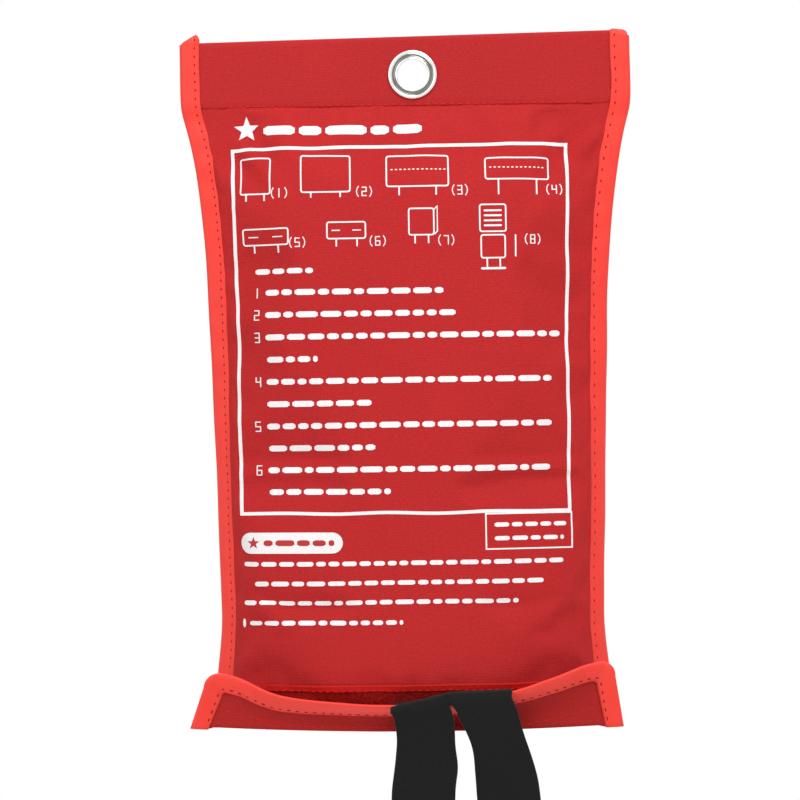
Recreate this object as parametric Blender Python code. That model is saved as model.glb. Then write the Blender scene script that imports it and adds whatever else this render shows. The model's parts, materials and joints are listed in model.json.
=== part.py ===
"""Fire blanket in a soft red hanging pouch, drawn in metres.

+Z is up, +X is to the right of someone facing the pouch, and the front faces -Y.
The origin is where a hook bears: the top of the eyelet's hole, at the header's mid thickness.
Depths are measured downwards from the pouch's top edge.
"""

import math

import bmesh
import bpy
from mathutils import Vector

# Layers and clearances
GAP = 0.0003
CLOTH = 0.0006
TAPE = 0.0010

# Pouch
FLAT_HALF_WIDTH = 0.0910
HEADER_HEIGHT = 0.0270
PULL_IN = 0.0138
PULL_IN_LENGTH = 0.0520
FLARE = 0.0092
FLARE_FROM = 0.2300
BULGE = 0.0140
BULGE_POWER = 0.8
BULGE_GAIN = 1.06
PANEL_FLAT_SHARE = 0.25
SWELL_POWER = 3.2
PANEL_TOP = CLOTH + GAP
FRONT_HEM = 0.2775
BACK_END = 0.2780
SEAM_GAP = GAP / 2
SIDE_DEPTHS = (0.0330, 0.0410, 0.0530, 0.0690, 0.0910, 0.1210, 0.1670, 0.1900, 0.2270, 0.2450, 0.2620)
PANEL_STATIONS = (PANEL_FLAT_SHARE, 0.45, 0.62, 0.76, 0.87, 0.95, 1.0)

# Edge bindings
BINDING_WIDTH = 0.0078
BINDING_END = 0.2760
SEAM_INSET = BINDING_WIDTH + 0.0012
EDGE_INSET = CLOTH + GAP
BINDING_STEP = 0.0040

# Eyelet
HOLE_APOTHEM = 0.0060
EYELET_DEPTH = 0.0154
EYELET_OFFSET = 0.0030
BARREL_WALL = 0.0006
LIP_RADIUS = 0.0072
FLANGE_RADIUS = 0.0100
FLANGE_EDGE = 0.0005
FLANGE_SLOPE = 0.0006
FLANGE_LAND = 0.0001
LIP_HEIGHT = 0.0013
LIP_BEVEL = 0.0004
LIP_DROP = 0.0005
ROLL_BEVEL = 0.0002
WASHER_BEVEL = 0.0002
WASHER_EDGE = 0.0004
WASHER_RADIUS = 0.0095
WASHER_THICKNESS = 0.0007
ROLL_RADIUS = 0.0078
ROLL_THICKNESS = 0.0007
EYELET_SIDES = 32

# Closure
LOOP_TOP = 0.2615
LOOP_THICKNESS = 0.0010
LOOP_SHARE = 0.90
LOOP_STATIONS = (0.27, 0.5, 0.7, 0.85, 0.95, 1.0)
LOOP_ROWS = 3
HOOK_TOP = 0.2665
HOOK_BOTTOM = 0.2775
HOOK_THICKNESS = 0.00085
HOOK_HALF_WIDTH = 0.0680

# Bottom fold and flap
FOLD_TOP = 0.2791
FOLD_BOTTOM = FOLD_TOP + CLOTH
FOLD_MIDDLE = FOLD_TOP + CLOTH / 2
FOLD_HALF_BACK = 0.0740
FLAP_SIDE_TOP = 0.2560
FLAP_DIP = 0.0080
FLAP_DIP_POWER = 4
FLAP_HALF_TOP = 0.0810
FLAP_HALF_BOTTOM = 0.0867
FLAP_CORNER = 0.0120
FLAP_CORNER_LEAD = 0.0040
FLAP_CORNER_STEPS = 6
FLAP_TOP_STEPS = 12

# Blanket
BLANKET_TOP = 0.0400
BLANKET_BOTTOM = 0.2770
BLANKET_HALF_WIDTH = 0.0620
BLANKET_LEAVES = 4
BLANKET_CLEARANCE = 0.0010
BLANKET_SIDE_FIT = 0.95
BLANKET_ROWS = (0.0, 0.05, 0.12, 0.22, 0.36, 0.55, 1.0)
BLANKET_STATIONS = (0.0, 0.030, 0.042, 0.050, 0.056, 0.0595, BLANKET_HALF_WIDTH)
LEAF_GAP = 0.0006
FOLD_DEPTH = 0.0030

# Pull tapes
TAPE_WIDTH = 0.0250
LEFT_TAPE_X = 0.0042
RIGHT_TAPE_X = 0.0298
RIGHT_SLANT = math.radians(14)
ROOT_TOP = 0.2779
ROOT_THICKNESS = 0.0008
ROOT_BACK = -0.0060
HINGE_CLEARANCE = 0.00075
HINGE_SIDE = 0.0008
RISER_HINGE_DEPTH = 0.2783
WRAP_HINGE_DEPTH = 0.2614
TAIL_HINGE_DEPTH = 0.2690
TAIL_END = 0.3500

# Where each layer of the mouth stands, from the front panel's outer face forwards
PANEL_FACE = SEAM_GAP + BULGE + CLOTH
RISER_BACK = PANEL_FACE + GAP + LOOP_THICKNESS + GAP
RISER_Y = -(RISER_BACK + TAPE / 2)
HOOK_BACK = RISER_BACK + TAPE + GAP
FLAP_INNER_BINDING = HOOK_BACK + HOOK_THICKNESS + GAP
FLAP_BACK = FLAP_INNER_BINDING + CLOTH + GAP
FLAP_MIDDLE = -(FLAP_BACK + CLOTH / 2)
FLAP_FRONT = FLAP_BACK + CLOTH
TAIL_BACK = FLAP_FRONT + GAP + CLOTH + GAP
TAIL_Y = -(TAIL_BACK + TAPE / 2)

COLOURS = {
    "panel": ((0.50, 0.034, 0.036, 1.0), 0.75, 0.0),
    "header": ((0.54, 0.035, 0.038, 1.0), 0.72, 0.0),
    "binding": ((0.85, 0.10, 0.07, 1.0), 0.45, 0.0),
    "loop": ((0.18, 0.007, 0.006, 1.0), 0.95, 0.0),
    "metal": ((0.80, 0.80, 0.80, 1.0), 0.18, 1.0),
    "glass_cloth": ((0.86, 0.85, 0.80, 1.0), 0.65, 0.0),
    "webbing": ((0.014, 0.014, 0.015, 1.0), 0.80, 0.0),
}


def clear_scene():
    for obj in list(bpy.data.objects):
        bpy.data.objects.remove(obj, do_unlink=True)


def height(depth):
    """The z of a depth below the pouch's top edge."""
    return EYELET_DEPTH - HOLE_APOTHEM - depth


def place(x, y, depth):
    """A point given from the pouch's own centre line."""
    return (x - EYELET_OFFSET, y, height(depth))


def add_part(name, verts, faces, look, smooth=False):
    """A mesh object with outward normals and its own material."""
    mesh = bpy.data.meshes.new(name)
    mesh.from_pydata(verts, [], faces)
    bm = bmesh.new()
    bm.from_mesh(mesh)
    bmesh.ops.recalc_face_normals(bm, faces=bm.faces)
    bm.to_mesh(mesh)
    bm.free()
    for polygon in mesh.polygons:
        polygon.use_smooth = smooth
    obj = bpy.data.objects.new(name, mesh)
    bpy.context.scene.collection.objects.link(obj)
    colour, roughness, metallic = COLOURS[look]
    material = bpy.data.materials.new(name)
    material.use_nodes = True
    shader = material.node_tree.nodes["Principled BSDF"]
    shader.inputs["Base Color"].default_value = colour
    shader.inputs["Roughness"].default_value = roughness
    shader.inputs["Metallic"].default_value = metallic
    material.diffuse_color = colour
    mesh.materials.append(material)
    return obj


def set_origin(obj, point):
    """Moves the object's origin to a point and leaves its shape where it is."""
    offset = Vector(point)
    for vertex in obj.data.vertices:
        vertex.co -= offset
    obj.location = offset


def sheet(name, outer, inner, look):
    """A closed sheet between two grids of points with the same rows and columns."""
    rows, columns = len(outer), len(outer[0])
    verts = [point for grid in (outer, inner) for row in grid for point in row]

    def at(side, row, column):
        return side * rows * columns + row * columns + column

    faces = []
    for side in (0, 1):
        for r in range(rows - 1):
            for c in range(columns - 1):
                corners = (at(side, r, c), at(side, r, c + 1), at(side, r + 1, c + 1), at(side, r + 1, c))
                faces.append(corners if side else corners[::-1])
    rim = [(0, c) for c in range(columns)]
    rim += [(r, columns - 1) for r in range(1, rows)]
    rim += [(rows - 1, c) for c in range(columns - 2, -1, -1)]
    rim += [(r, 0) for r in range(rows - 2, 0, -1)]
    for here, there in zip(rim, rim[1:] + rim[:1]):
        faces.append((at(0, *here), at(0, *there), at(1, *there), at(1, *here)))
    return add_part(name, verts, faces, look, smooth=True)


def loft(name, sections, look, smooth=False):
    """A closed body through a list of closed outlines, each with the same number of points."""
    count = len(sections[0])
    verts = [point for section in sections for point in section]
    faces = [tuple(range(count)), tuple(range(len(verts) - count, len(verts)))[::-1]]
    for s in range(len(sections) - 1):
        for i in range(count):
            j = (i + 1) % count
            faces.append((s * count + i, s * count + j, (s + 1) * count + j, (s + 1) * count + i))
    return add_part(name, verts, faces, look, smooth)


def slab(name, x, y, depth, look):
    """A straight block between pairs of x, y and depth."""
    outline = [(y[0], depth[0]), (y[1], depth[0]), (y[1], depth[1]), (y[0], depth[1])]
    return loft(name, [[place(side, a, d) for a, d in outline] for side in x], look)


def revolve(name, profile, look):
    """A ring round the eyelet's axis through points of (radius, y), flat-sided with a facet at the top."""
    centre = height(EYELET_DEPTH)
    step = 2 * math.pi / EYELET_SIDES
    stretch = 1 / math.cos(step / 2)
    verts = []
    for i in range(EYELET_SIDES):
        angle = (i + 0.5) * step
        for radius, y in profile:
            reach = radius * stretch
            verts.append((reach * math.sin(angle), y, centre + reach * math.cos(angle)))
    count = len(profile)
    faces = []
    for i in range(EYELET_SIDES):
        j = (i + 1) % EYELET_SIDES
        for k in range(count):
            m = (k + 1) % count
            faces.append((i * count + k, i * count + m, j * count + m, j * count + k))
    return add_part(name, verts, faces, look)


def half_width(depth):
    """Half the pouch's width over its bindings: drawn in by the bulge, and wider again at the mouth."""
    if depth <= HEADER_HEIGHT:
        return FLAT_HALF_WIDTH
    drawn = PULL_IN * (1 - math.exp((HEADER_HEIGHT - depth) / PULL_IN_LENGTH))
    t = max(0.0, (depth - FLARE_FROM) / (FOLD_BOTTOM - FLARE_FROM))
    return FLAT_HALF_WIDTH - drawn + FLARE * t * t * (3 - 2 * t)


def bulge(depth):
    """How far each panel stands off the seam's plane at its middle."""
    if depth <= HEADER_HEIGHT:
        return 0.0
    share = 1 - math.exp((HEADER_HEIGHT - depth) / PULL_IN_LENGTH)
    return BULGE * min(1.0, BULGE_GAIN * share**BULGE_POWER)


def swell(share):
    """The bulge's shape across the pocket, from 1 at the middle to 0 at the seam."""
    beyond = max(0.0, (abs(share) - PANEL_FLAT_SHARE) / (1 - PANEL_FLAT_SHARE))
    return math.sqrt(max(0.0, 1 - beyond**SWELL_POWER))


def panel_shares():
    """Positions across the pocket, closer together where the panel curves most."""
    return [-s for s in PANEL_STATIONS[::-1]] + list(PANEL_STATIONS)


def panel_line(depth, shares, margin):
    """The panel's inner face at a depth, as (x, distance from the seam's plane)."""
    seam = half_width(depth) - SEAM_INSET
    line = [(s * seam, SEAM_GAP + bulge(depth) * swell(s)) for s in shares]
    if margin:
        edge = half_width(depth) - EDGE_INSET
        line = [(-edge, SEAM_GAP)] + line + [(edge, SEAM_GAP)]
    return line


def offset_line(line, distance):
    """The line moved outwards by a distance, mitred at its corners."""
    moved = []
    for i, (x, y) in enumerate(line):
        normals = []
        for a, b in ((i - 1, i), (i, i + 1)):
            if a < 0 or b >= len(line):
                continue
            dx, dy = line[b][0] - line[a][0], line[b][1] - line[a][1]
            length = math.hypot(dx, dy)
            normals.append((-dy / length, dx / length))
        nx = sum(n[0] for n in normals) / len(normals)
        ny = sum(n[1] for n in normals) / len(normals)
        square = nx * nx + ny * ny
        moved.append((x + distance * nx / square, y + distance * ny / square))
    return moved


def panel(name, side, end):
    """One face of the pouch. side is -1 at the front and 1 at the back."""
    outer, inner = [], []
    for depth in (PANEL_TOP, HEADER_HEIGHT, *SIDE_DEPTHS, end):
        line = panel_line(depth, panel_shares(), True)
        inner.append([place(x, side * y, depth) for x, y in line])
        outer.append([place(x, side * y, depth) for x, y in offset_line(line, CLOTH)])
    return sheet(name, outer, inner, "panel")


def hole_cutter():
    """The round punch that clears the eyelet's barrel through every layer of cloth."""
    radius = HOLE_APOTHEM + BARREL_WALL + GAP
    centre = height(EYELET_DEPTH)
    rings = []
    for y in (-FLANGE_RADIUS, FLANGE_RADIUS):
        turn = [2 * math.pi * (i + 0.5) / EYELET_SIDES for i in range(EYELET_SIDES)]
        rings.append([(radius * math.sin(a), y, centre + radius * math.cos(a)) for a in turn])
    cutter = loft("eyelet_punch", rings, "metal")
    cutter.hide_render = True
    cutter.display_type = "WIRE"
    return cutter


def punch(obj, cutter):
    cut = obj.modifiers.new("eyelet_hole", "BOOLEAN")
    cut.operation = "DIFFERENCE"
    cut.solver = "EXACT"
    cut.object = cutter


def header_band():
    """The strip folded over the top of both panels."""
    inner = SEAM_GAP + CLOTH + GAP
    outer = inner + CLOTH
    half = [(outer, HEADER_HEIGHT), (outer, CLOTH / 2), (outer - CLOTH / 2, 0.0)]
    outline = [(-y, d) for y, d in half] + [(y, d) for y, d in half[::-1]]
    outline += [(inner, HEADER_HEIGHT), (inner, CLOTH), (-inner, CLOTH), (-inner, HEADER_HEIGHT)]
    reach = FLAT_HALF_WIDTH - EDGE_INSET
    return loft("header_band", [[place(x, y, d) for y, d in outline] for x in (-reach, reach)], "header")


def binding_section(width, leaf, side, depth):
    """A folded tape's outline at one depth, open towards the pouch's middle."""
    open_edge = width - BINDING_WIDTH
    web = width - CLOTH
    inner = leaf - CLOTH
    nose = CLOTH / 2
    outline = [(open_edge, -leaf), (width - nose, -leaf), (width, -leaf + nose)]
    outline += [(width, leaf - nose), (width - nose, leaf), (open_edge, leaf)]
    outline += [(open_edge, inner), (web, inner), (web, -inner), (open_edge, -inner)]
    return [place(side * x, y, depth) for x, y in outline]


def edge_binding(name, side):
    """A side binding: over the header's end at the top, then down both panels' edges."""
    on_panel = SEAM_GAP + CLOTH + GAP + CLOTH
    on_header = on_panel + GAP + CLOTH
    depths = [(0.0, on_header), (HEADER_HEIGHT + GAP, on_header), (HEADER_HEIGHT + BINDING_STEP, on_panel)]
    depths += [(d, on_panel) for d in (*SIDE_DEPTHS, BINDING_END)]
    sections = [binding_section(half_width(d), leaf, side, d) for d, leaf in depths]
    return loft(name, sections, "binding")


def eyelet():
    """Flange, rolled lip and barrel, with the barrel's end rolled over the washer."""
    cloth_face = SEAM_GAP + 2 * (CLOTH + GAP) - GAP
    front = -(cloth_face + GAP)
    washer_back = cloth_face + GAP + WASHER_THICKNESS
    barrel = HOLE_APOTHEM + BARREL_WALL
    profile = [
        (HOLE_APOTHEM, front - LIP_HEIGHT + LIP_BEVEL),
        (HOLE_APOTHEM + LIP_BEVEL, front - LIP_HEIGHT),
        (LIP_RADIUS - LIP_BEVEL, front - LIP_HEIGHT),
        (LIP_RADIUS, front - LIP_HEIGHT + LIP_DROP),
        (FLANGE_RADIUS - FLANGE_SLOPE, front - FLANGE_EDGE),
        (FLANGE_RADIUS, front - FLANGE_LAND),
        (FLANGE_RADIUS, front),
        (barrel, front),
        (barrel, washer_back + GAP),
        (ROLL_RADIUS, washer_back + GAP),
        (ROLL_RADIUS - ROLL_BEVEL, washer_back + GAP + ROLL_THICKNESS),
        (HOLE_APOTHEM + ROLL_BEVEL, washer_back + GAP + ROLL_THICKNESS),
        (HOLE_APOTHEM, washer_back + GAP + ROLL_THICKNESS - ROLL_BEVEL),
    ]
    return revolve("eyelet", profile, "metal")


def eyelet_washer():
    """The flat ring at the back of the header that the barrel is rolled over."""
    cloth_face = SEAM_GAP + 2 * (CLOTH + GAP) - GAP
    near, far = cloth_face + GAP, cloth_face + GAP + WASHER_THICKNESS
    bore = HOLE_APOTHEM + BARREL_WALL + GAP
    profile = [(bore, near), (bore, far), (WASHER_RADIUS - WASHER_BEVEL, far)]
    profile += [(WASHER_RADIUS, near + WASHER_EDGE), (WASHER_RADIUS, near)]
    return revolve("eyelet_washer", profile, "metal")


def loop_strip():
    """The soft half of the closure, on the front panel's hem."""
    shares = [s * LOOP_SHARE for s in (*[-s for s in LOOP_STATIONS[::-1]], *LOOP_STATIONS)]
    outer, inner = [], []
    for row in range(LOOP_ROWS + 1):
        depth = LOOP_TOP + (FRONT_HEM - LOOP_TOP) * row / LOOP_ROWS
        line = offset_line(panel_line(depth, shares, False), CLOTH + 1.5 * GAP)
        inner.append([place(x, -y, depth) for x, y in line])
        outer.append([place(x, -y, depth) for x, y in offset_line(line, LOOP_THICKNESS - 0.5 * GAP)])
    return sheet("loop_strip", outer, inner, "loop")


def bottom_fold():
    """The back panel's extension that closes the bottom, hinged where it leaves the back panel."""
    sections = []
    for y, reach in fold_ends():
        side = reach - EDGE_INSET
        ring = [(-side, FOLD_TOP), (side, FOLD_TOP), (side, FOLD_BOTTOM), (-side, FOLD_BOTTOM)]
        sections.append([place(x, y, d) for x, d in ring])
    fold = loft("bottom_fold", sections, "panel")
    set_origin(fold, place(0.0, PANEL_FACE, FOLD_MIDDLE))
    return fold


def fold_ends():
    """The bottom fold's front and back edges, as (y, half width over its bindings)."""
    return [(-(FLAP_INNER_BINDING - GAP), FLAP_HALF_BOTTOM), (PANEL_FACE, FOLD_HALF_BACK)]


def fold_binding(name, side):
    """The tape folded round one side edge of the bottom fold."""
    leaf = CLOTH / 2 + GAP + CLOTH
    inner = leaf - CLOTH
    sections = []
    for y, reach in fold_ends():
        open_edge = reach - BINDING_WIDTH
        web = reach - CLOTH
        outline = [(open_edge, -leaf), (reach, -leaf), (reach, leaf), (open_edge, leaf)]
        outline += [(open_edge, inner), (web, inner), (web, -inner), (open_edge, -inner)]
        sections.append([place(side * x, y, FOLD_MIDDLE + d) for x, d in outline])
    obj = loft(name, sections, "binding")
    set_origin(obj, place(0.0, PANEL_FACE, FOLD_MIDDLE))
    return obj


def flap_edge(inset):
    """The flap's outline from its lower left corner over the top to its lower right corner, as (x, depth)."""
    half = []
    slope = (FLAP_HALF_BOTTOM - FLAP_HALF_TOP) / (FOLD_BOTTOM - FLAP_SIDE_TOP)
    turn = FLAP_SIDE_TOP + FLAP_CORNER
    side_x = FLAP_HALF_TOP + slope * FLAP_CORNER
    half.append((FLAP_HALF_BOTTOM - inset, FOLD_BOTTOM))
    half.append((side_x + slope * FLAP_CORNER_LEAD - inset, turn + FLAP_CORNER_LEAD))
    radius = FLAP_CORNER - inset
    for i in range(FLAP_CORNER_STEPS + 1):
        a = math.pi / 2 * i / FLAP_CORNER_STEPS
        x = side_x - FLAP_CORNER + radius * math.cos(a)
        half.append((x, turn - radius * math.sin(a)))
    flat = side_x - FLAP_CORNER
    for i in range(1, FLAP_TOP_STEPS + 1):
        x = flat * (1 - i / FLAP_TOP_STEPS)
        half.append((x, FLAP_SIDE_TOP + inset + FLAP_DIP * (1 - (x / flat) ** FLAP_DIP_POWER)))
    return [(-x, d) for x, d in half] + [(x, d) for x, d in half[:-1][::-1]]


def flap_panel():
    """The cloth of the flap, hinged where it leaves the bottom fold."""
    edge = flap_edge(EDGE_INSET)
    sections = [[place(x, -y, d) for x, d in edge] for y in (FLAP_BACK, FLAP_FRONT)]
    obj = loft("flap_panel", sections, "panel")
    set_origin(obj, place(0.0, FLAP_MIDDLE, FOLD_MIDDLE))
    return obj


def flap_binding():
    """One tape folded round the flap's free edge: up a side, along the top and down the other side."""
    lines = [flap_edge(i) for i in (0.0, CLOTH, BINDING_WIDTH)]
    leaf = CLOTH / 2 + GAP + CLOTH
    inner = leaf - CLOTH
    walk = [(0, -leaf), (0, leaf), (2, leaf), (2, inner), (1, inner), (1, -inner), (2, -inner), (2, -leaf)]
    sections = []
    for i in range(len(lines[0])):
        sections.append([place(lines[k][i][0], FLAP_MIDDLE + y, lines[k][i][1]) for k, y in walk])
    obj = loft("flap_binding", sections, "binding")
    set_origin(obj, place(0.0, FLAP_MIDDLE, FOLD_MIDDLE))
    return obj


def hook_strip():
    """The hooked half of the closure, on the flap's inner face."""
    across = (-HOOK_HALF_WIDTH, HOOK_HALF_WIDTH)
    through = (-(HOOK_BACK + HOOK_THICKNESS), -HOOK_BACK)
    obj = slab("hook_strip", across, through, (HOOK_TOP, HOOK_BOTTOM), "loop")
    set_origin(obj, place(0.0, FLAP_MIDDLE, FOLD_MIDDLE))
    return obj


def leaf_depths():
    """Depths down the folded blanket, closer together where it thins towards the top."""
    return [BLANKET_TOP + (BLANKET_BOTTOM - BLANKET_TOP) * t for t in BLANKET_ROWS]


def slit(share, depths):
    """The gap between two leaves: in along one leaf, round, and back along the next."""
    away = 1 if depths[0] > depths[-1] else -1
    inner_end = depths[-1] + away * FOLD_DEPTH
    inside = depths[:-1] + [inner_end]
    half = LEAF_GAP / 2
    return [(share, d, -away * half) for d in inside] + [(share, d, away * half) for d in inside[::-1]]


def blanket():
    """The blanket, folded in a zigzag to one block that thins towards its top."""
    depths = leaf_depths()
    shares = [-1 + 2.0 * i / BLANKET_LEAVES for i in range(BLANKET_LEAVES + 1)]
    # Walk down the front face and up the back face, running into each gap between leaves on the way:
    # gaps that open downwards are entered from the bottom edge, the others from the top edge.
    walk = [(shares[0], d, 0.0) for d in depths]
    for i in range(1, BLANKET_LEAVES, 2):
        walk += slit(shares[i], depths[::-1])
    walk += [(shares[-1], d, 0.0) for d in depths[::-1]]
    for i in range(BLANKET_LEAVES - 2, 0, -2):
        walk += slit(shares[i], depths)
    narrowest = min(half_width(d) for d in SIDE_DEPTHS) - SEAM_INSET
    sections = []
    for x in [-s for s in BLANKET_STATIONS[:0:-1]] + list(BLANKET_STATIONS):
        fit = BLANKET_SIDE_FIT * swell(x / narrowest)
        sections.append([])
        for share, depth, shift in walk:
            half = bulge(depth) - BLANKET_CLEARANCE
            sections[-1].append(place(x, share * half * fit + shift, depth))
    return loft("blanket", sections, "glass_cloth")


def tape_root(name, x):
    """The tape's sewn end, flat under the blanket's lower edge."""
    across = (x - TAPE_WIDTH / 2, x + TAPE_WIDTH / 2)
    through = (RISER_Y + HINGE_SIDE, ROOT_BACK)
    return slab(name, across, through, (ROOT_TOP, ROOT_TOP + ROOT_THICKNESS), "webbing")


def tape_riser(name, x):
    """The tape between the front panel and the flap, hinged under the front panel's hem."""
    across = (x - TAPE_WIDTH / 2, x + TAPE_WIDTH / 2)
    through = (RISER_Y - TAPE / 2, RISER_Y + TAPE / 2)
    up = (WRAP_HINGE_DEPTH + HINGE_CLEARANCE, RISER_HINGE_DEPTH - HINGE_CLEARANCE)
    obj = slab(name, across, through, up, "webbing")
    set_origin(obj, place(x, RISER_Y, RISER_HINGE_DEPTH))
    return obj


def tape_wrap(name, x):
    """The tape over the flap's top edge, hinged at the top of the riser."""
    back = RISER_Y - HINGE_SIDE
    inner = TAIL_Y + TAPE / 2
    outer = TAIL_Y - TAPE / 2
    top = WRAP_HINGE_DEPTH - TAPE / 2
    under = WRAP_HINGE_DEPTH + TAPE / 2
    end = TAIL_HINGE_DEPTH - HINGE_SIDE
    outline = [(back, top), (outer + TAPE / 2, top), (outer, top + TAPE / 2), (outer, end)]
    outline += [(inner, end), (inner, under), (back, under)]
    sides = (x - TAPE_WIDTH / 2, x + TAPE_WIDTH / 2)
    obj = loft(name, [[place(side, y, d) for y, d in outline] for side in sides], "webbing")
    set_origin(obj, place(x, RISER_Y, WRAP_HINGE_DEPTH))
    return obj


def tape_tail(name, x, slant):
    """The tape's hanging end, hinged below the flap's top edge."""
    top = TAIL_HINGE_DEPTH + HINGE_CLEARANCE
    sections = []
    for depth in (top, TAIL_END):
        middle = x + (depth - top) * math.tan(slant)
        ring = [(-1, -1), (1, -1), (1, 1), (-1, 1)]
        sections.append(
            [place(middle + a * TAPE_WIDTH / 2, TAIL_Y + b * TAPE / 2, depth) for a, b in ring]
        )
    obj = loft(name, sections, "webbing")
    set_origin(obj, place(x, TAIL_Y, TAIL_HINGE_DEPTH))
    return obj


def build():
    clear_scene()
    front = panel("front_panel", -1, FRONT_HEM)
    back = panel("back_panel", 1, BACK_END)
    header = header_band()
    cutter = hole_cutter()
    for obj in (front, back, header):
        punch(obj, cutter)
    eyelet()
    eyelet_washer()
    edge_binding("left_binding", -1)
    edge_binding("right_binding", 1)
    loop_strip()
    bottom_fold()
    fold_binding("left_fold_binding", -1)
    fold_binding("right_fold_binding", 1)
    flap_panel()
    flap_binding()
    hook_strip()
    blanket()
    for side, x, slant in (("left", LEFT_TAPE_X, 0.0), ("right", RIGHT_TAPE_X, RIGHT_SLANT)):
        tape_root(f"{side}_tape_root", x)
        tape_riser(f"{side}_tape_riser", x)
        tape_wrap(f"{side}_tape_wrap", x)
        tape_tail(f"{side}_tape_tail", x, slant)


build()
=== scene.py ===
import json
import math
import bmesh
import bpy
import numpy as np
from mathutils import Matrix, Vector

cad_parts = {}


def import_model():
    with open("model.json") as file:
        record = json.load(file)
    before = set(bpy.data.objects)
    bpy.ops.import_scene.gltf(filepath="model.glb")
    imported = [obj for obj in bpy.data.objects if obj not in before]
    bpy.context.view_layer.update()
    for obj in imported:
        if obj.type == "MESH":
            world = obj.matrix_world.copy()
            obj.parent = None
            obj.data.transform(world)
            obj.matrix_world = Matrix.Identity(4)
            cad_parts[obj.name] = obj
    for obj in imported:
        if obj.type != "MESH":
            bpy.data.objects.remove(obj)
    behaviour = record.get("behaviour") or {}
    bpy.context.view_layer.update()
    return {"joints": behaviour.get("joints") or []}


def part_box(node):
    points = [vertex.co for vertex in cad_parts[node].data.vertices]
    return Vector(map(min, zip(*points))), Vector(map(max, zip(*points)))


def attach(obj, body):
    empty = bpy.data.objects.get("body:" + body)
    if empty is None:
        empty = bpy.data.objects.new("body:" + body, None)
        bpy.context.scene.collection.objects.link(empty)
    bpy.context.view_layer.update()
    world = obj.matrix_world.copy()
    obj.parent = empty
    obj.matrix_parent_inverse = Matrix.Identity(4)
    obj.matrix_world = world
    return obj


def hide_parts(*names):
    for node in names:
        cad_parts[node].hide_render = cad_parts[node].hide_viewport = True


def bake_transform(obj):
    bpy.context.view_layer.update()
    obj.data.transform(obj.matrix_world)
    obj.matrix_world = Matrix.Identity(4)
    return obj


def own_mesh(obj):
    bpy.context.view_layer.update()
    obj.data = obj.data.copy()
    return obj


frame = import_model()

# Looks of a fire blanket in its soft red hanging pouch: cloth, webbing, print, thread and chromed eyelet.
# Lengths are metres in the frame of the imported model, so a number times MM is in millimetres.
# A depth is measured downwards from the pouch's top edge, and x from the pouch's own centre line.

MM = 0.001
HEADER_LOW, HEADER_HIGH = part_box("header_band")
TOP_Z = HEADER_HIGH.z
CENTRE_X = (HEADER_LOW.x + HEADER_HIGH.x) / 2
EYELET_LOW, EYELET_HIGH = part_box("eyelet")
EYELET_Z = (EYELET_LOW.z + EYELET_HIGH.z) / 2

HEADER = 27.9 * MM          # depth of the header band
FLAT_HALF = 91 * MM         # half the pouch's width where it lies flat
BINDING = 7.8 * MM          # width of the tape down the sides
CLOTH = 0.5 * MM
BULGE = 14.2 * MM           # how far the filled belly stands off the middle plane
PANEL_END = 277.5 * MM
LOOP_TOP = 261.2 * MM
BOTTOM = 279.6 * MM


# ---------------------------------------------------------------- small helpers

def joint(name):
    return next(j for j in frame["joints"] if j["name"] == name)


def place(obj, slot, *nodes, body="pouch", slack=False):
    """Hides the CAD nodes that a finished piece stands for and hangs it on the body it rides; slot is not
    used.

    A slack piece is part of the front's belly and gets a mesh of its own.
    """
    if nodes:
        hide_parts(*nodes)
    if body:
        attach(obj, body)
    if slack:
        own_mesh(obj)


def unit(vectors):
    return vectors / np.maximum(np.linalg.norm(vectors, axis=-1, keepdims=True), 1e-12)


def arc_length(points):
    """Distance along a path at each of its points."""
    return np.concatenate([[0], np.cumsum(np.linalg.norm(np.diff(points, axis=0), axis=1))])


def along(path, arc, s):
    """Points of a path at the distances s."""
    return np.stack([np.interp(s, arc, path[:, i]) for i in range(3)], axis=-1)


def facing(grid, side):
    """Unit normals of a grid of points, all towards -y or all towards +y."""
    normal = grid_normals(grid)
    return np.where((normal[..., 1] * side > 0)[..., None], normal, -normal)


def world(x, y, depth):
    """A point of the frame from the pouch's own x, y and depth. Works on arrays."""
    return np.stack(np.broadcast_arrays(x + CENTRE_X, y, TOP_Z - depth), axis=-1)


def layout(across, down):
    """Weave coordinates of a grid from its distances across and down the cloth."""
    across, down = np.broadcast_arrays(across, down)
    return np.stack([across, down, np.zeros_like(across)], axis=-1)


def smooth(t):
    t = np.clip(t, 0.0, 1.0)
    return t * t * (3 - 2 * t)


def ripple(a, b, seed, octaves=3):
    """A repeatable smooth wander of two coordinates, about -1 to 1."""
    rng = np.random.default_rng(seed)
    total = 0.0
    for octave in range(octaves):
        turn, phase = rng.uniform(0, 2 * math.pi, 2)
        k = 1.7**octave
        total = total + np.sin(k * (a * math.cos(turn) + b * math.sin(turn)) + phase) / k**0.6
        total = total + np.sin(k * 0.8 * (a * math.sin(turn) - b * math.cos(turn)) + 2 * phase) / k**0.6
    return total / (1.4 * octaves)


def new_object(name, verts, faces, material, smooth_shade=True, weave=None):
    mesh = bpy.data.meshes.new(name)
    mesh.from_pydata([tuple(map(float, v)) for v in verts], [], faces)
    mesh.update()
    if weave is not None:
        layer = mesh.attributes.new("weave", "FLOAT_VECTOR", "POINT")
        layer.data.foreach_set("vector", np.asarray(weave, np.float32).ravel())
    for polygon in mesh.polygons:
        polygon.use_smooth = smooth_shade
    obj = bpy.data.objects.new(name, mesh)
    bpy.context.scene.collection.objects.link(obj)
    if material:
        mesh.materials.append(material)
    return obj


def grid_faces(rows, columns, start=0, flip=False):
    faces = []
    for r in range(rows - 1):
        for c in range(columns - 1):
            a = start + r * columns + c
            quad = (a, a + 1, a + columns + 1, a + columns)
            faces.append(quad[::-1] if flip else quad)
    return faces


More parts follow.
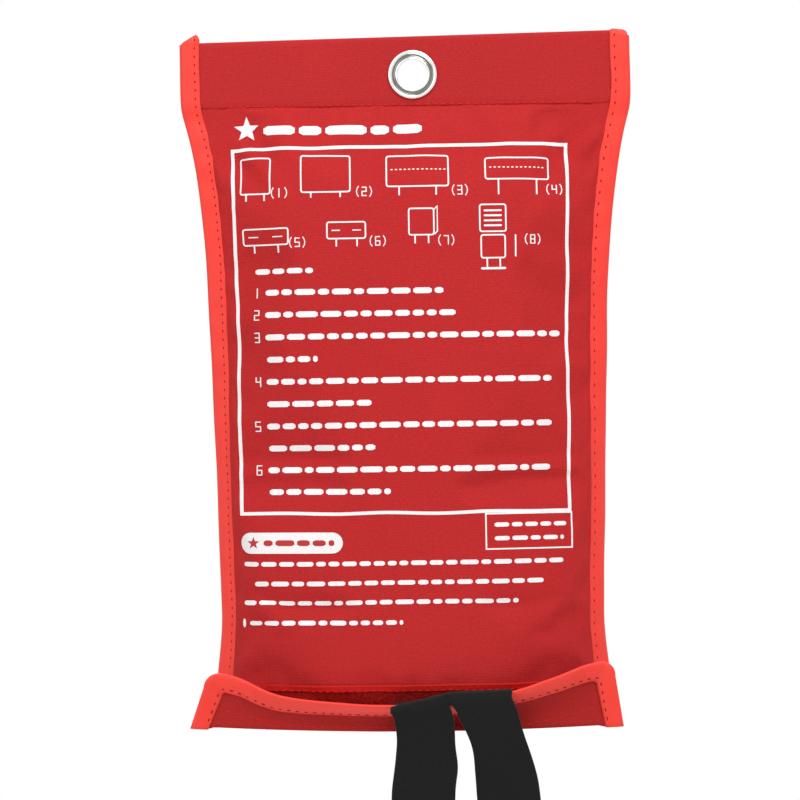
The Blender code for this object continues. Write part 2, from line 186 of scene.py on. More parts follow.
def grid_normals(grid):
    return unit(np.cross(np.gradient(grid, axis=1), np.gradient(grid, axis=0)))


def rim_of(rows, columns):
    """Indices of a grid's border points, once round."""
    last = columns - 1
    rim = list(range(columns)) + [r * columns + last for r in range(1, rows)]
    rim += [(rows - 1) * columns + c for c in range(last - 1, -1, -1)]
    return rim + [r * columns for r in range(rows - 2, 0, -1)]


def thick_sheet(name, grid, thickness, material, weave):
    """A closed sheet of cloth: grid is its middle, its edges are rounded, and weave is its flat layout."""
    rows, columns = grid.shape[:2]
    count, half = rows * columns, thickness / 2
    points, normals = grid.reshape(-1, 3), grid_normals(grid).reshape(-1, 3)
    verts = list(np.concatenate([points + normals * half, points - normals * half]))
    weave = list(np.concatenate([weave.reshape(-1, 3)] * 2))
    faces = grid_faces(rows, columns) + grid_faces(rows, columns, count, flip=True)
    rim = rim_of(rows, columns)
    centre = points.mean(axis=0)
    middle = {}
    for i, v in enumerate(rim):
        side = unit(np.cross(points[rim[(i + 1) % len(rim)]] - points[rim[i - 1]], normals[v]))
        if side @ (centre - points[v]) > 0:
            side = -side
        middle[v] = len(verts)
        verts.append(points[v] + side * half * 0.8)
        weave.append(weave[v])
    for i, v in enumerate(rim):
        w = rim[(i + 1) % len(rim)]
        faces.append((w, v, middle[v], middle[w]))
        faces.append((middle[w], middle[v], v + count, w + count))
    obj = new_object(name, verts, faces, material, True, weave)
    fix_normals(obj)
    return obj


def fix_normals(obj):
    bm = bmesh.new()
    bm.from_mesh(obj.data)
    bmesh.ops.recalc_face_normals(bm, faces=bm.faces)
    bm.to_mesh(obj.data)
    bm.free()


def lathe(name, profile, material, sides=96):
    """A smooth ring round the eyelet's axis through (radius, y) points."""
    verts, faces, count = [], [], len(profile)
    for i in range(sides):
        a, j = 2 * math.pi * i / sides, (i + 1) % sides
        verts += [(r * math.sin(a), y, EYELET_Z + r * math.cos(a)) for r, y in profile]
        for k in range(count):
            m = (k + 1) % count
            faces.append((i * count + k, i * count + m, j * count + m, j * count + k))
    obj = new_object(name, verts, faces, material)
    fix_normals(obj)
    return obj


def rounded_profile(points, steps=4):
    """A closed outline with its corners softened by repeated corner cutting."""
    points = [np.array(p, float) for p in points]
    for _ in range(steps):
        cut = []
        for i, p in enumerate(points):
            q = points[(i + 1) % len(points)]
            cut += [p * 0.75 + q * 0.25, p * 0.25 + q * 0.75]
        points = cut
    return points


# ---------------------------------------------------------------- materials

class Nodes:
    """Short-hand for building one material's nodes."""

    def __init__(self, name):
        self.material = bpy.data.materials.new(name)
        self.material.use_nodes = True
        self.tree = self.material.node_tree
        self.shader = self.tree.nodes["Principled BSDF"]

    def add(self, kind, **values):
        node = self.tree.nodes.new(kind)
        for key, value in values.items():
            if hasattr(node, key):
                setattr(node, key, value)
            else:
                node.inputs[key.replace("_", " ")].default_value = value
        return node

    def link(self, out, into):
        self.tree.links.new(out, into)

    def math(self, operation, a, b=None, c=None):
        node = self.add("ShaderNodeMath", operation=operation)
        for i, value in enumerate((a, b, c)):
            if value is None:
                continue
            if isinstance(value, (int, float)):
                node.inputs[i].default_value = value
            else:
                self.link(value, node.inputs[i])
        return node.outputs[0]

    def noise(self, vector, scale, detail=2.0, rough=0.5):
        node = self.add("ShaderNodeTexNoise", Scale=scale, Detail=detail, Roughness=rough)
        self.link(vector, node.inputs["Vector"])
        return node.outputs["Fac"]

    def mix(self, factor, a, b):
        node = self.add("ShaderNodeMix", data_type="RGBA")
        sockets = [s for s in node.inputs if s.enabled]
        for socket, value in zip(sockets, (factor, a, b)):
            if isinstance(value, tuple):
                socket.default_value = (*value, 1.0)
            elif isinstance(value, (int, float)):
                socket.default_value = value
            else:
                self.link(value, socket)
        return [s for s in node.outputs if s.enabled][0]

    def sum(self, *terms):
        """The sum of (socket, weight) pairs."""
        total = self.math("MULTIPLY", *terms[0])
        for socket, weight in terms[1:]:
            total = self.math("ADD", total, self.math("MULTIPLY", socket, weight))
        return total

    def colour(self, factor, dark, light):
        self.link(self.mix(factor, dark, light), self.shader.inputs["Base Color"])

    def roughness(self, socket, span, low):
        self.link(self.math("MULTIPLY_ADD", socket, span, low), self.shader.inputs["Roughness"])

    def places(self):
        return self.add("ShaderNodeTexCoord").outputs["Object"]

    def bump(self, height, strength, distance):
        node = self.add("ShaderNodeBump", Strength=strength, Distance=distance)
        self.link(height, node.inputs["Height"])
        if self.shader.inputs["Normal"].is_linked:
            before = self.shader.inputs["Normal"].links[0].from_socket
            self.link(before, node.inputs["Normal"])
        self.link(node.outputs["Normal"], self.shader.inputs["Normal"])

    def set(self, **values):
        for key, value in values.items():
            value = (*value, 1.0) if isinstance(value, tuple) else value
            self.shader.inputs[key.replace("_", " ")].default_value = value

    def weave(self):
        """The cloth's own coordinates in metres."""
        node = self.add("ShaderNodeAttribute", attribute_name="weave")
        split = self.add("ShaderNodeSeparateXYZ")
        self.link(node.outputs["Vector"], split.inputs[0])
        return node.outputs["Vector"], split.outputs["X"], split.outputs["Y"]


def wave(n, coordinate, pitch, phase=0.0):
    """A 0 to 1 wave along one coordinate."""
    turned = n.math("MULTIPLY_ADD", coordinate, 2 * math.pi / pitch, phase)
    return n.math("MULTIPLY_ADD", n.math("SINE", turned), 0.5, 0.5)


def woven(name, dark, light, pitch=0.62 * MM, rough=0.78, sheen=0.05, depth=0.10 * MM, worn=0.12):
    """Plain weave: over-and-under threads, uneven yarn, soft patches of handling."""
    n = Nodes(name)
    vector, u, v = n.weave()
    warp, weft = wave(n, u, pitch), wave(n, v, pitch)
    over = wave(n, u, 2 * pitch)
    under = wave(n, v, 2 * pitch)
    check = n.math("ABSOLUTE", n.math("SUBTRACT", over, under))
    thread = n.sum((warp, check), (weft, n.math("SUBTRACT", 1.0, check)))
    yarn = n.noise(vector, 900.0, 2.0)
    patch = n.noise(vector, 22.0, 3.0, 0.55)
    broad = n.noise(vector, 7.0, 2.0)
    shade = n.sum((thread, 0.26), (yarn, 0.52), (n.math("SUBTRACT", patch, 0.5), worn * 2),
                  (n.math("SUBTRACT", broad, 0.5), worn * 2))
    n.colour(n.math("MINIMUM", n.math("MAXIMUM", shade, 0.0), 1.0), dark, light)
    n.roughness(patch, 0.18, rough - 0.09)
    n.set(Sheen_Weight=sheen, Sheen_Roughness=0.45, Sheen_Tint=(1.0, 0.45, 0.42), Specular_IOR_Level=0.16)
    n.bump(thread, 0.65, depth)
    n.bump(n.noise(vector, 260.0, 2.0), 0.25, 0.15 * MM)
    return n.material


def satin(name, dark, light, rib=0.42 * MM, sheen=0.2, shine=0.45):
    """Bias tape: fine ribs on the slant, with a silky highlight."""
    n = Nodes(name)
    vector, u, v = n.weave()
    ribs = wave(n, n.math("ADD", u, v), rib)
    patch = n.noise(vector, 45.0, 3.0)
    yarn = n.noise(vector, 1100.0, 1.0)
    n.colour(n.sum((ribs, 0.25), (patch, 0.5), (yarn, 0.25)), dark, light)
    n.roughness(patch, 0.2, 0.34)
    n.set(Sheen_Weight=sheen, Sheen_Roughness=0.3, Sheen_Tint=(1.0, 0.55, 0.48), Specular_IOR_Level=shine)
    n.set(Anisotropic=0.4)
    n.bump(ribs, 0.45, 0.06 * MM)
    n.bump(n.noise(vector, 120.0, 2.0), 0.3, 0.4 * MM)
    return n.material


def pile(name, dark, light):
    """Looped pile: tight curls, painted lighter at their tips as painted highlight and darker between them as
    painted shade.
    """
    n = Nodes(name)
    vector, _, _ = n.weave()
    cells = n.add("ShaderNodeTexVoronoi", Scale=1500.0)
    n.link(vector, cells.inputs["Vector"])
    curls = cells.outputs["Distance"]
    tuft = n.noise(vector, 420.0, 4.0, 0.7)
    # Painted light: the colour is lighter in each curl's middle and darker in the hollows between curls.
    shade = n.math("MULTIPLY", n.math("SUBTRACT", 1.0, curls), tuft)
    n.colour(n.math("MULTIPLY", shade, 1.5), dark, light)
    n.set(Roughness=0.95, Sheen_Weight=0.12, Sheen_Roughness=0.6, Sheen_Tint=(1.0, 0.25, 0.2))
    n.set(Specular_IOR_Level=0.08)
    n.bump(n.math("ADD", tuft, shade), 0.9, 0.5 * MM)
    return n.material


def webbing(name):
    """Black herringbone webbing with a firmer edge cord."""
    n = Nodes(name)
    vector, u, v = n.weave()
    twill = wave(n, n.math("ADD", v, n.math("PINGPONG", u, 3.1 * MM)), 1.25 * MM)
    ends = wave(n, u, 0.62 * MM)
    lint = n.noise(vector, 700.0, 3.0, 0.7)
    patch = n.noise(vector, 60.0, 2.0)
    shade = n.sum((twill, 0.45), (lint, 0.4), (patch, 0.2))
    n.colour(shade, (0.0025, 0.0025, 0.0027), (0.0125, 0.0125, 0.013))
    n.set(Roughness=0.88, Sheen_Weight=0.05, Sheen_Roughness=0.5, Specular_IOR_Level=0.16)
    n.bump(n.math("ADD", twill, n.math("MULTIPLY", ends, 0.5)), 0.8, 0.16 * MM)
    return n.material


def chrome(name):
    n = Nodes(name)
    coords = n.places()
    haze = n.noise(coords, 500.0, 4.0, 0.65)
    scratch = n.noise(coords, 2600.0, 2.0)
    # The groove between the lip and the rolled rim is painted dark grey: painted shade and dark reflection in
    # the recess.
    flat = n.add("ShaderNodeVectorMath", operation="MULTIPLY")
    n.link(coords, flat.inputs[0])
    flat.inputs[1].default_value = (1, 0, 1)
    apart = n.add("ShaderNodeVectorMath", operation="DISTANCE")
    n.link(flat.outputs[0], apart.inputs[0])
    apart.inputs[1].default_value = (0, 0, EYELET_Z)
    off = n.math("ABSOLUTE", n.math("SUBTRACT", apart.outputs["Value"], 7.85 * MM))
    painted_groove_shade = n.math("SUBTRACT", 1.0, n.math("MULTIPLY", off, 1 / (0.85 * MM)))
    painted_groove_shade = n.math("MAXIMUM", painted_groove_shade, 0.0)
    painted_groove_shade = n.math("MULTIPLY", n.math("MINIMUM", n.math("MULTIPLY", painted_groove_shade, 1.7), 1.0), 0.9)
    clean = n.mix(haze, (0.74, 0.73, 0.715), (0.95, 0.945, 0.94))
    # Painted shade: the chrome's colour turns dark grey in the groove.
    n.colour(painted_groove_shade, clean, (0.10, 0.115, 0.095))
    n.roughness(haze, 0.14, 0.06)
    n.set(Metallic=1.0)
    n.bump(scratch, 0.08, 0.02 * MM)
    return n.material


def ink(name, colour):
    """Screen print: slightly uneven, taking a little of the weave under it."""
    n = Nodes(name)
    coords = n.places()
    grain = n.noise(coords, 1500.0, 2.0, 0.6)
    n.colour(grain, tuple(c * 0.80 for c in colour), colour)
    n.set(Roughness=0.55, Specular_IOR_Level=0.3)
    n.bump(grain, 0.3, 0.05 * MM)
    return n.material


def thread(name, colour):
    n = Nodes(name)
    coords = n.places()
    twist = n.noise(coords, 3200.0, 1.0)
    n.colour(twist, tuple(c * 0.6 for c in colour), colour)
    n.set(Roughness=0.7, Specular_IOR_Level=0.15)
    n.bump(twist, 0.5, 0.08 * MM)
    return n.material


def paper_floor(name):
    n = Nodes(name)
    coords = n.places()
    grain = n.noise(coords, 40.0, 4.0)
    n.colour(grain, (0.86, 0.86, 0.86), (0.90, 0.90, 0.895))
    n.set(Roughness=0.9, Specular_IOR_Level=0.1)
    return n.material


PANEL_RED = woven("panel_weave", (0.36, 0.010, 0.012), (0.62, 0.030, 0.030))
HEADER_RED = woven("header_weave", (0.35, 0.011, 0.013), (0.60, 0.031, 0.032))
# The flap's red is the panel's cloth painted darker: painted shade, as the flap faces down away from the
# light.
FLAP_SHADED_RED = woven("flap_weave_shaded", (0.30, 0.009, 0.009), (0.52, 0.024, 0.021))
BINDING_RED = satin("binding_satin", (0.68, 0.018, 0.011), (0.97, 0.052, 0.030))
LOOP_RED = pile("loop_pile", (0.13, 0.002, 0.002), (0.46, 0.012, 0.009))
SELVEDGE_RED = satin("selvedge_satin", (0.40, 0.006, 0.005), (0.66, 0.016, 0.012), sheen=0.0, shine=0.12)
HOOK_RED = pile("hook_pile", (0.16, 0.003, 0.003), (0.42, 0.014, 0.011))
BLACK_WEB = webbing("black_webbing")
CHROME = chrome("eyelet_chrome")
WHITE_INK = ink("white_ink", (0.93, 0.90, 0.90))
RED_INK = ink("red_ink", (0.50, 0.03, 0.03))
THREAD_RED = thread("red_thread", (0.78, 0.020, 0.016))
# The bindings' red thread is painted dark: painted shade of stitches sunk in their groove.
THREAD_SHADED = thread("shaded_red_thread", (0.20, 0.003, 0.003))
GLASS_CLOTH = woven("glass_cloth", (0.66, 0.645, 0.60), (0.90, 0.885, 0.84), pitch=0.9 * MM,
                    rough=0.6, sheen=0.15, depth=0.16 * MM, worn=0.08)
THREAD_CREAM = thread("cream_thread", (0.80, 0.77, 0.68))


# ---------------------------------------------------------------- the pouch's shape

def outline(depth):
    """Half the pouch's width over its bindings: drawn in below the header, flared at the end."""
    depth = np.asarray(depth, float)
    below = (depth - HEADER - MM) / 2
    below = below + np.hypot(below, 1.6 * MM)
    drawn = 8.8 * MM * (1 - np.exp(-below / (28 * MM))) + 0.0245 * below
    flare = 4.6 * MM * smooth((depth - 232 * MM) / (46 * MM))
    return FLAT_HALF - drawn + flare


def turned(depth):
    """How far the seam's edge is turned back from the pouch's plane, as an angle."""
    depth = np.asarray(depth, float)
    eased = 1 - 0.35 * smooth((depth - 240 * MM) / (34 * MM))
    return math.radians(38) * smooth((depth - 35 * MM) / (160 * MM)) * eased


def seam_x(depth):
    """Half the width between the seams."""
    return outline(depth) - (BINDING - 0.6 * MM) * np.cos(turned(depth))


def fullness(depth):
    """How far the belly's middle stands off the middle plane."""
    depth = np.asarray(depth, float)
    share = 1 - np.exp(-np.maximum(depth - HEADER, 0) / (50 * MM))
    return BULGE * np.minimum(1.0, 1.05 * share**0.9)


def swell(share):
    """The belly's cross-section, from 1 in the middle to 0 at the seams."""
    beyond = np.clip((np.abs(share) - 0.12) / 0.88, 0, 1)
    return np.sqrt(np.clip(1 - beyond**2.9, 0, 1))


EVEN = np.linspace(-1, 1, 57)
PANEL_SHARES = 0.55 * np.sin(EVEN * math.pi / 2) + 0.45 * EVEN
PANEL_DEPTHS = np.concatenate([[24 * MM, 26 * MM, HEADER], np.linspace(30 * MM, PANEL_END, 84)])


def panel_start(side):
    """The panel before the cloth settles, as a grid of points."""
    shares, depths = np.meshgrid(PANEL_SHARES, PANEL_DEPTHS)
    x = shares * seam_x(depths)
    y = side * (0.45 * MM + fullness(depths) * swell(shares))
    return world(x, y, depths)


def even_out(step, rows, columns):
    """Takes the noise of single cells out of the cloth's travel, leaving its folds."""
    field = step.reshape(2, rows, columns, 3)
    inner = field[:, 1:-1, 1:-1]
    around = field[:, :-2, 1:-1] + field[:, 2:, 1:-1] + field[:, 1:-1, :-2] + field[:, 1:-1, 2:]
    field = field.copy()
    field[:, 1:-1, 1:-1] = 0.5 * inner + 0.125 * around
    return field.reshape(-1, 3)


def settle(grids):
    """Lets the two panels find their own folds: cloth with a little extra stuff, held at every seam."""
    rows, columns = grids[0].shape[:2]
    count = rows * columns
    verts = np.concatenate([g.reshape(-1, 3) for g in grids])
    # The back's end columns are the front's, so the pair closes along both seams.
    front, back = np.arange(2 * count).reshape(2, rows, columns)
    back[:, [0, -1]] = front[:, [0, -1]]
    faces = []
    for plane, flip in ((front, False), (back, True)):
        corners = plane.ravel().tolist()
        faces += [[corners[i] for i in quad] for quad in grid_faces(rows, columns, 0, flip)]
    for r, flip in ((0, True), (rows - 1, False)):
        for c in range(columns - 1):
            quad = [front[r, c], front[r, c + 1], back[r, c + 1], back[r, c]]
            quad = [int(i) for i in dict.fromkeys(quad)]
            faces.append(quad[::-1] if flip else quad)
    pouch = new_object("settling_pouch", verts, faces, None)
    fix_normals(pouch)
    pins = pouch.vertex_groups.new(name="pins")
    held = set(front[:, 0].tolist()) | set(front[:, -1].tolist())
    for plane in (front, back):
        held |= set(plane[:3].ravel().tolist()) | set(plane[-1].tolist())
    pins.add(sorted(held), 1.0, "REPLACE")
    cloth = pouch.modifiers.new("Cloth", "CLOTH")
    extra, last_frame = -0.022, 26
    wanted = {"quality": 6, "mass": 0.15, "tension_stiffness": 25, "compression_stiffness": 25,
              "shear_stiffness": 8, "bending_stiffness": 0.35, "air_damping": 4, "vertex_group_mass": "pins",
              "shrink_min": extra, "shrink_max": extra, "use_pressure": True, "uniform_pressure_force": 1.2}
    for key, value in wanted.items():
        setattr(cloth.settings, key, value)
    cloth.settings.effector_weights.gravity = 0
    cloth.collision_settings.use_collision = False
    cloth.point_cache.frame_start = 1
    cloth.point_cache.frame_end = last_frame
    scene = bpy.context.scene
    for number in range(1, last_frame + 1):
        scene.frame_set(number)
    graph = bpy.context.evaluated_depsgraph_get()
    mesh = pouch.evaluated_get(graph).to_mesh()
    moved = np.array([v.co for v in mesh.vertices], float)
    scene.frame_set(1)
    bpy.data.objects.remove(pouch)
    step = even_out((moved - verts) * (0.35, 1.0, 0.35), rows, columns)
    length = np.linalg.norm(step, axis=1, keepdims=True)
    cap = 5 * MM
    moved = verts + step * np.minimum(1.0, cap / np.maximum(length, 1e-9))
    settled = moved.reshape(2, rows, columns, 3)
    settled[1][:, [0, -1]] = settled[0][:, [0, -1]]
    return settled


def finer(grid, times=2):
    """A denser grid through the same points (Catmull-Rom), which keeps folds smooth."""
    for axis in (0, 1):
        g = np.moveaxis(grid, axis, 0)
        n = g.shape[0]
        t = np.linspace(0, n - 1, (n - 1) * times + 1)
        i = np.clip(np.floor(t).astype(int), 0, n - 2)
        f = (t - i).reshape(-1, *([1] * (g.ndim - 1)))
        p0, p1 = g[np.maximum(i - 1, 0)], g[i]
        p2, p3 = g[i + 1], g[np.minimum(i + 2, n - 1)]
        square, cube = 2 * p0 - 5 * p1 + 4 * p2 - p3, 3 * p1 - p0 - 3 * p2 + p3
        g = 0.5 * (2 * p1 + (p2 - p0) * f + square * f**2 + cube * f**3)
        grid = np.moveaxis(g, 0, axis)
    return grid


def puckers(x, depth, side):
    """Height of the small folds that sewing and filling put in a panel."""
    a, b = x / MM, depth / MM
    seam = seam_x(depth) / MM
    to_seam = np.maximum(seam - np.abs(a), 0)
    under = np.maximum(b - HEADER / MM, 0)
    away = smooth(under / 4) * smooth(to_seam / 2.5)
    hem = 1 - smooth((b - 258) / 12)
    height = 0.42 * np.sin(a / 5.2 + 0.9 * ripple(a / 30, b / 40, 5)) * np.exp(-under / 14)
    for corner, lean, phase in ((-1, 0.62, 0.4), (1, 0.50, 2.1)):
        dx, dy = corner * (seam - corner * a), under
        along = np.abs(dx) * lean + dy
        across = np.abs(dx) - dy * lean
        reach = np.exp(-((along - 16) / 26) ** 2) * np.exp(-((across - 4) / 17) ** 2)
        height = height + 1.0 * reach * np.sin(across / 2.7 + phase + 0.7 * ripple(a / 18, b / 18, 9))
    for corner, deep in ((-1, 1.7), (1, 1.3)):
        dimple = np.exp(-(((seam - corner * a) - 8) / 7) ** 2) * np.exp(-((under - 7) / 5.5) ** 2)
        height = height - deep * dimple * (side < 0)
    beat = np.sin(b / 2.6 + 1.3 * ripple(b / 22, a * 0 + side, 11) * 2)
    height = height + 0.30 * beat * np.exp(-to_seam / 5.0)
    height = height + 0.62 * ripple(a / 24, b / 32, 21 + (side > 0), 3)
    height = height + 0.16 * ripple(a / 7, b / 9, 31 + (side > 0), 2)
    return height * away * hem * MM


BLANKET_LOW, BLANKET_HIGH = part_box("blanket")
BLANKET_HALF = (BLANKET_HIGH.x - BLANKET_LOW.x) / 2 - 1 * MM
BLANKET_TOP = TOP_Z - BLANKET_HIGH.z + 1 * MM
BLANKET_FADE = 68 * MM


def blanket_room(depth):
    """Half the thickness that the folded blanket may take at a depth."""
    return np.minimum(fullness(depth) * 0.86, 12.2 * MM) - 0.9 * MM


def blanket_fit(x):
    """Share of that thickness kept at x, which falls off towards the blanket's sides."""
    return 0.93 * swell(x / BLANKET_FADE)


def room_inside(x, depth):
    """How far each panel has to stand off the middle plane to clear the other panel and the blanket."""
    beside = smooth((BLANKET_HALF + 2.5 * MM - np.abs(x)) / (2 * MM))
    below = smooth((depth - BLANKET_TOP + 3 * MM) / (2.5 * MM))
    return 0.6 * MM + beside * below * (0.875 * blanket_room(depth) * blanket_fit(x) + 0.6 * MM)


def panels():
    grids = [panel_start(-1), panel_start(1)]
    grids = settle(grids)
    shaped = []
    for grid, side in zip(grids, (-1, 1)):
        grid = finer(grid, 2)
        depth = TOP_Z - grid[..., 2]
        x = grid[..., 0] - CENTRE_X
        grid = grid + facing(grid, side) * puckers(x, depth, side)[..., None]
        over = side * grid[..., 1] - room_inside(x, depth)
        lifted = 0.5 * (over + np.hypot(over, 0.5 * MM))
        grid[..., 1] += side * (lifted - over) * (depth > HEADER)
        shaped.append(grid)
    return shaped


def cloth_lengths(grid):
    """Distances along the cloth itself, for the weave."""
    middle = grid.shape[1] // 2
    across = np.stack([arc_length(row) for row in grid])
    across -= across[:, middle][:, None]
    return layout(across, arc_length(grid[:, middle])[:, None])


FRONT, BACK = panels()
for side_name, panel, weave_start in (("front", FRONT, (0, 0, 0)), ("back", BACK, (0.3, 0.2, 0))):
    plan = cloth_lengths(panel) + weave_start
    panel_cloth = thick_sheet(f"{side_name}_panel_cloth", panel, CLOTH, PANEL_RED, plan)
    place(panel_cloth, "panel", f"{side_name}_panel", slack=side_name == "front")


class Surface:
    """Looks up points and outward normals on a settled panel by the x and depth they had when it was cut."""

    def __init__(self, grid, side):
        self.grid, self.normal = grid, facing(grid, side)
        self.depths = finer(np.asarray(PANEL_DEPTHS)[:, None, None].repeat(2, axis=1), 2)[:, 0, 0]
        self.shares = finer(np.asarray(PANEL_SHARES)[None, :, None].repeat(2, axis=0), 2)[0, :, 0]

    def at(self, x, depth, lift=0.0):
        x, depth = np.broadcast_arrays(np.asarray(x, float), np.asarray(depth, float))
        r = np.interp(depth, self.depths, np.arange(len(self.depths)))
        c = np.interp(x / seam_x(depth), self.shares, np.arange(len(self.shares)))
        r0 = np.clip(np.floor(r).astype(int), 0, len(self.depths) - 2)
        c0 = np.clip(np.floor(c).astype(int), 0, len(self.shares) - 2)
        fr, fc = (r - r0)[..., None], (c - c0)[..., None]

        def blend(g):
            top = g[r0, c0] * (1 - fc) + g[r0, c0 + 1] * fc
            low = g[r0 + 1, c0] * (1 - fc) + g[r0 + 1, c0 + 1] * fc
            return top * (1 - fr) + low * fr

        normal = unit(blend(self.normal))
        return blend(self.grid) + normal * (CLOTH / 2 + lift), normal


FRONT_FACE = Surface(FRONT, -1)


# ---------------------------------------------------------------- thread

def stitch_run(verts, faces, points, normals, length, gap, radius):
    """Adds sewn dashes along a path: short rounded threads that dive into the cloth at both ends."""
    points, normals = np.asarray(points, float), np.asarray(normals, float)
    arc = arc_length(points)
    turns = np.linspace(0, 2 * math.pi, 7)[:-1]
    start = gap / 2
    while start + length < arc[-1]:
        base = len(verts)
        for k, s in enumerate(np.linspace(start, start + length, 6)):
            m = unit(along(normals, arc, s))
            behind, ahead = along(points, arc, np.clip([s - 0.3 * MM, s + 0.3 * MM], 0, arc[-1]))
            side = np.cross(unit(ahead - behind), m)
            rise = math.sin(math.pi * k / 5)
            centre = along(points, arc, s) + m * radius * (1.1 * rise - 0.9)
            r = radius * (0.45 + 0.55 * math.sqrt(max(rise, 0.0)))
            verts += [centre + (side * math.cos(a) + m * 0.8 * math.sin(a)) * r for a in turns]
        for a in range(base, base + 30, 6):
            faces += [(a + j, a + (j + 1) % 6, a + 6 + (j + 1) % 6, a + 6 + j) for j in range(6)]
        faces += [tuple(range(base, base + 6))[::-1], tuple(range(base + 30, base + 36))]
        start += length + gap


def sewn(name, runs, material, length, gap, radius):
    verts, faces = [], []
    for points, normals in runs:
        stitch_run(verts, faces, points, normals, length, gap, radius)
    obj = new_object(name, verts, faces, material)
    fix_normals(obj)
    return obj


# ---------------------------------------------------------------- header band and eyelet

def header_path():
    """The header's cloth from its front lower edge over the top to its back lower edge, as (y, depth)."""
    face = 1.35 * MM
    hem = 0.35 * MM
    down = np.linspace(1.6 * MM, HEADER, 26)
    path = [(-face + hem * (1 - smooth((HEADER - d) / (2.5 * MM))), d) for d in down[::-1]]
    for a in np.linspace(0, math.pi, 9)[1:-1]:
        path.append((-face * math.cos(a), 1.6 * MM - 1.5 * MM * math.sin(a)))
    return path + [(face, d) for d in down]


def header_rise(x):
    """How much lower the header's top edge lies at x: it was folded a little out of square."""
    return -1.35 * MM * x / (83 * MM)


def header_band():
    path = header_path()
    xs = np.linspace(-FLAT_HALF + 2.8 * MM, FLAT_HALF - 2.8 * MM, 110)
    grid = np.zeros((len(path), len(xs), 3))
    for r, (y, d) in enumerate(path):
        low = smooth((d - 6 * MM) / (20 * MM))
        off_bindings = smooth((FLAT_HALF - 8 * MM - np.abs(xs)) / (10 * MM))
        sway = 0.38 * MM * ripple(xs / MM / 30, d / MM / 16, 41) * off_bindings
        swell_out = 0.35 * MM * low * np.sin(xs / MM / 9.0 + 1.5 * np.sin(xs / MM / 31))
        near_eyelet = smooth((np.hypot(xs + CENTRE_X, d - (TOP_Z - EYELET_Z)) - 10 * MM) / (8 * MM))
        y_here = y + (sway + np.sign(y) * swell_out * 0.6) * near_eyelet
        wander = 0.25 * MM * ripple(xs / MM / 40, 0 * xs, 43) * (d < 3 * MM)
        grid[r] = world(xs, y_here, d + wander + header_rise(xs) * (1 - d / HEADER))
    weave = layout(xs[None, :], arc_length(np.array(path))[:, None])
    band = thick_sheet("header_band_cloth", grid, CLOTH, HEADER_RED, weave)
    cut_hole(band, 6.9 * MM)
    place(band, "header", "header_band")
    return grid


def cut_hole(obj, radius):
    """Cuts the eyelet's hole through a piece."""
    verts, count = [], 48
    for y in (-0.02, 0.02):
        for i in range(count):
            a = 2 * math.pi * i / count
            verts.append((radius * math.sin(a), y, EYELET_Z + radius * math.cos(a)))
    faces = [tuple(range(count)), tuple(range(count, 2 * count))[::-1]]
    faces += [(i, (i + 1) % count, count + (i + 1) % count, count + i) for i in range(count)]
    cutter = new_object("hole_cutter", verts, faces, None, False)
    fix_normals(cutter)
    hole = obj.modifiers.new("hole", "BOOLEAN")
    hole.operation, hole.solver, hole.object = "DIFFERENCE", "EXACT", cutter
    graph = bpy.context.evaluated_depsgraph_get()
    graph.update()
    mesh = bpy.data.meshes.new_from_object(obj.evaluated_get(graph))
    obj.modifiers.clear()
    obj.data = mesh
    bpy.data.objects.remove(cutter)


def ring(name, node, profile):
    """A turned metal ring from its (radius, y) corners in millimetres."""
    corners = [(r * MM, y * MM) for r, y in profile]
    place(lathe(name, rounded_profile(corners, 2), CHROME), "metal", node)


def eyelet_pieces():
    hole, front, back = 6.0, EYELET_LOW.y / MM, EYELET_HIGH.y / MM
    # The lip, the groove behind it, the rolled rim, and the barrel turned over at the back.
    face = [(hole, 0.5), (hole + 0.2, 0.04), (hole + 0.6, -0.05), (7.05, 0.25), (7.2, 0.95), (7.9, 1.1),
            (8.35, 0.9), (8.7, 0.45), (9.4, 0.4), (9.95, 0.85), (10.0, 1.28), (9.7, 1.36), (6.7, 1.3)]
    turned_over = [(6.6, -0.75), (7.4, -0.6), (7.8, -0.3), (7.4, 0), (6.5, 0), (hole, -0.5)]
    ring("eyelet_metal", "eyelet", [(hole, -1.2)] + [(r, front + y) for r, y in face] + [(6.6, 0.0)]
         + [(r, back + y) for r, y in turned_over])
    low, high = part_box("eyelet_washer")
    near, far = low.y / MM, high.y / MM
    ring("eyelet_back_ring", "eyelet_washer", [
        (6.9, near), (6.9, far), (8.6, far), (9.4, far - 0.25), (9.5, near + 0.1), (9.3, near)])


HEADER_GRID = header_band()
eyelet_pieces()


def header_stitches():
    runs = []
    for side in (-1, 1):
        xs = np.linspace(-FLAT_HALF + 9 * MM, FLAT_HALF - 9 * MM, 80)
        depth = HEADER - 0.45 * MM
        row = 1 if side < 0 else HEADER_GRID.shape[0] - 2
        line = HEADER_GRID[row]
        y = np.interp(xs, line[:, 0] - CENTRE_X, line[:, 1]) + side * CLOTH / 2
        runs.append((world(xs, y, depth + 0 * xs), np.tile([0.0, float(side), 0.0], (len(xs), 1))))
    place(sewn("header_stitches", runs, THREAD_RED, 2.8 * MM, 0.5 * MM, 0.26 * MM), "header")


header_stitches()


# ---------------------------------------------------------------- edge bindings

TAPE_NOSE = 1.2 * MM        # reach of the rounded fold over the cloth's edge
TAPE_THICK = 0.45 * MM


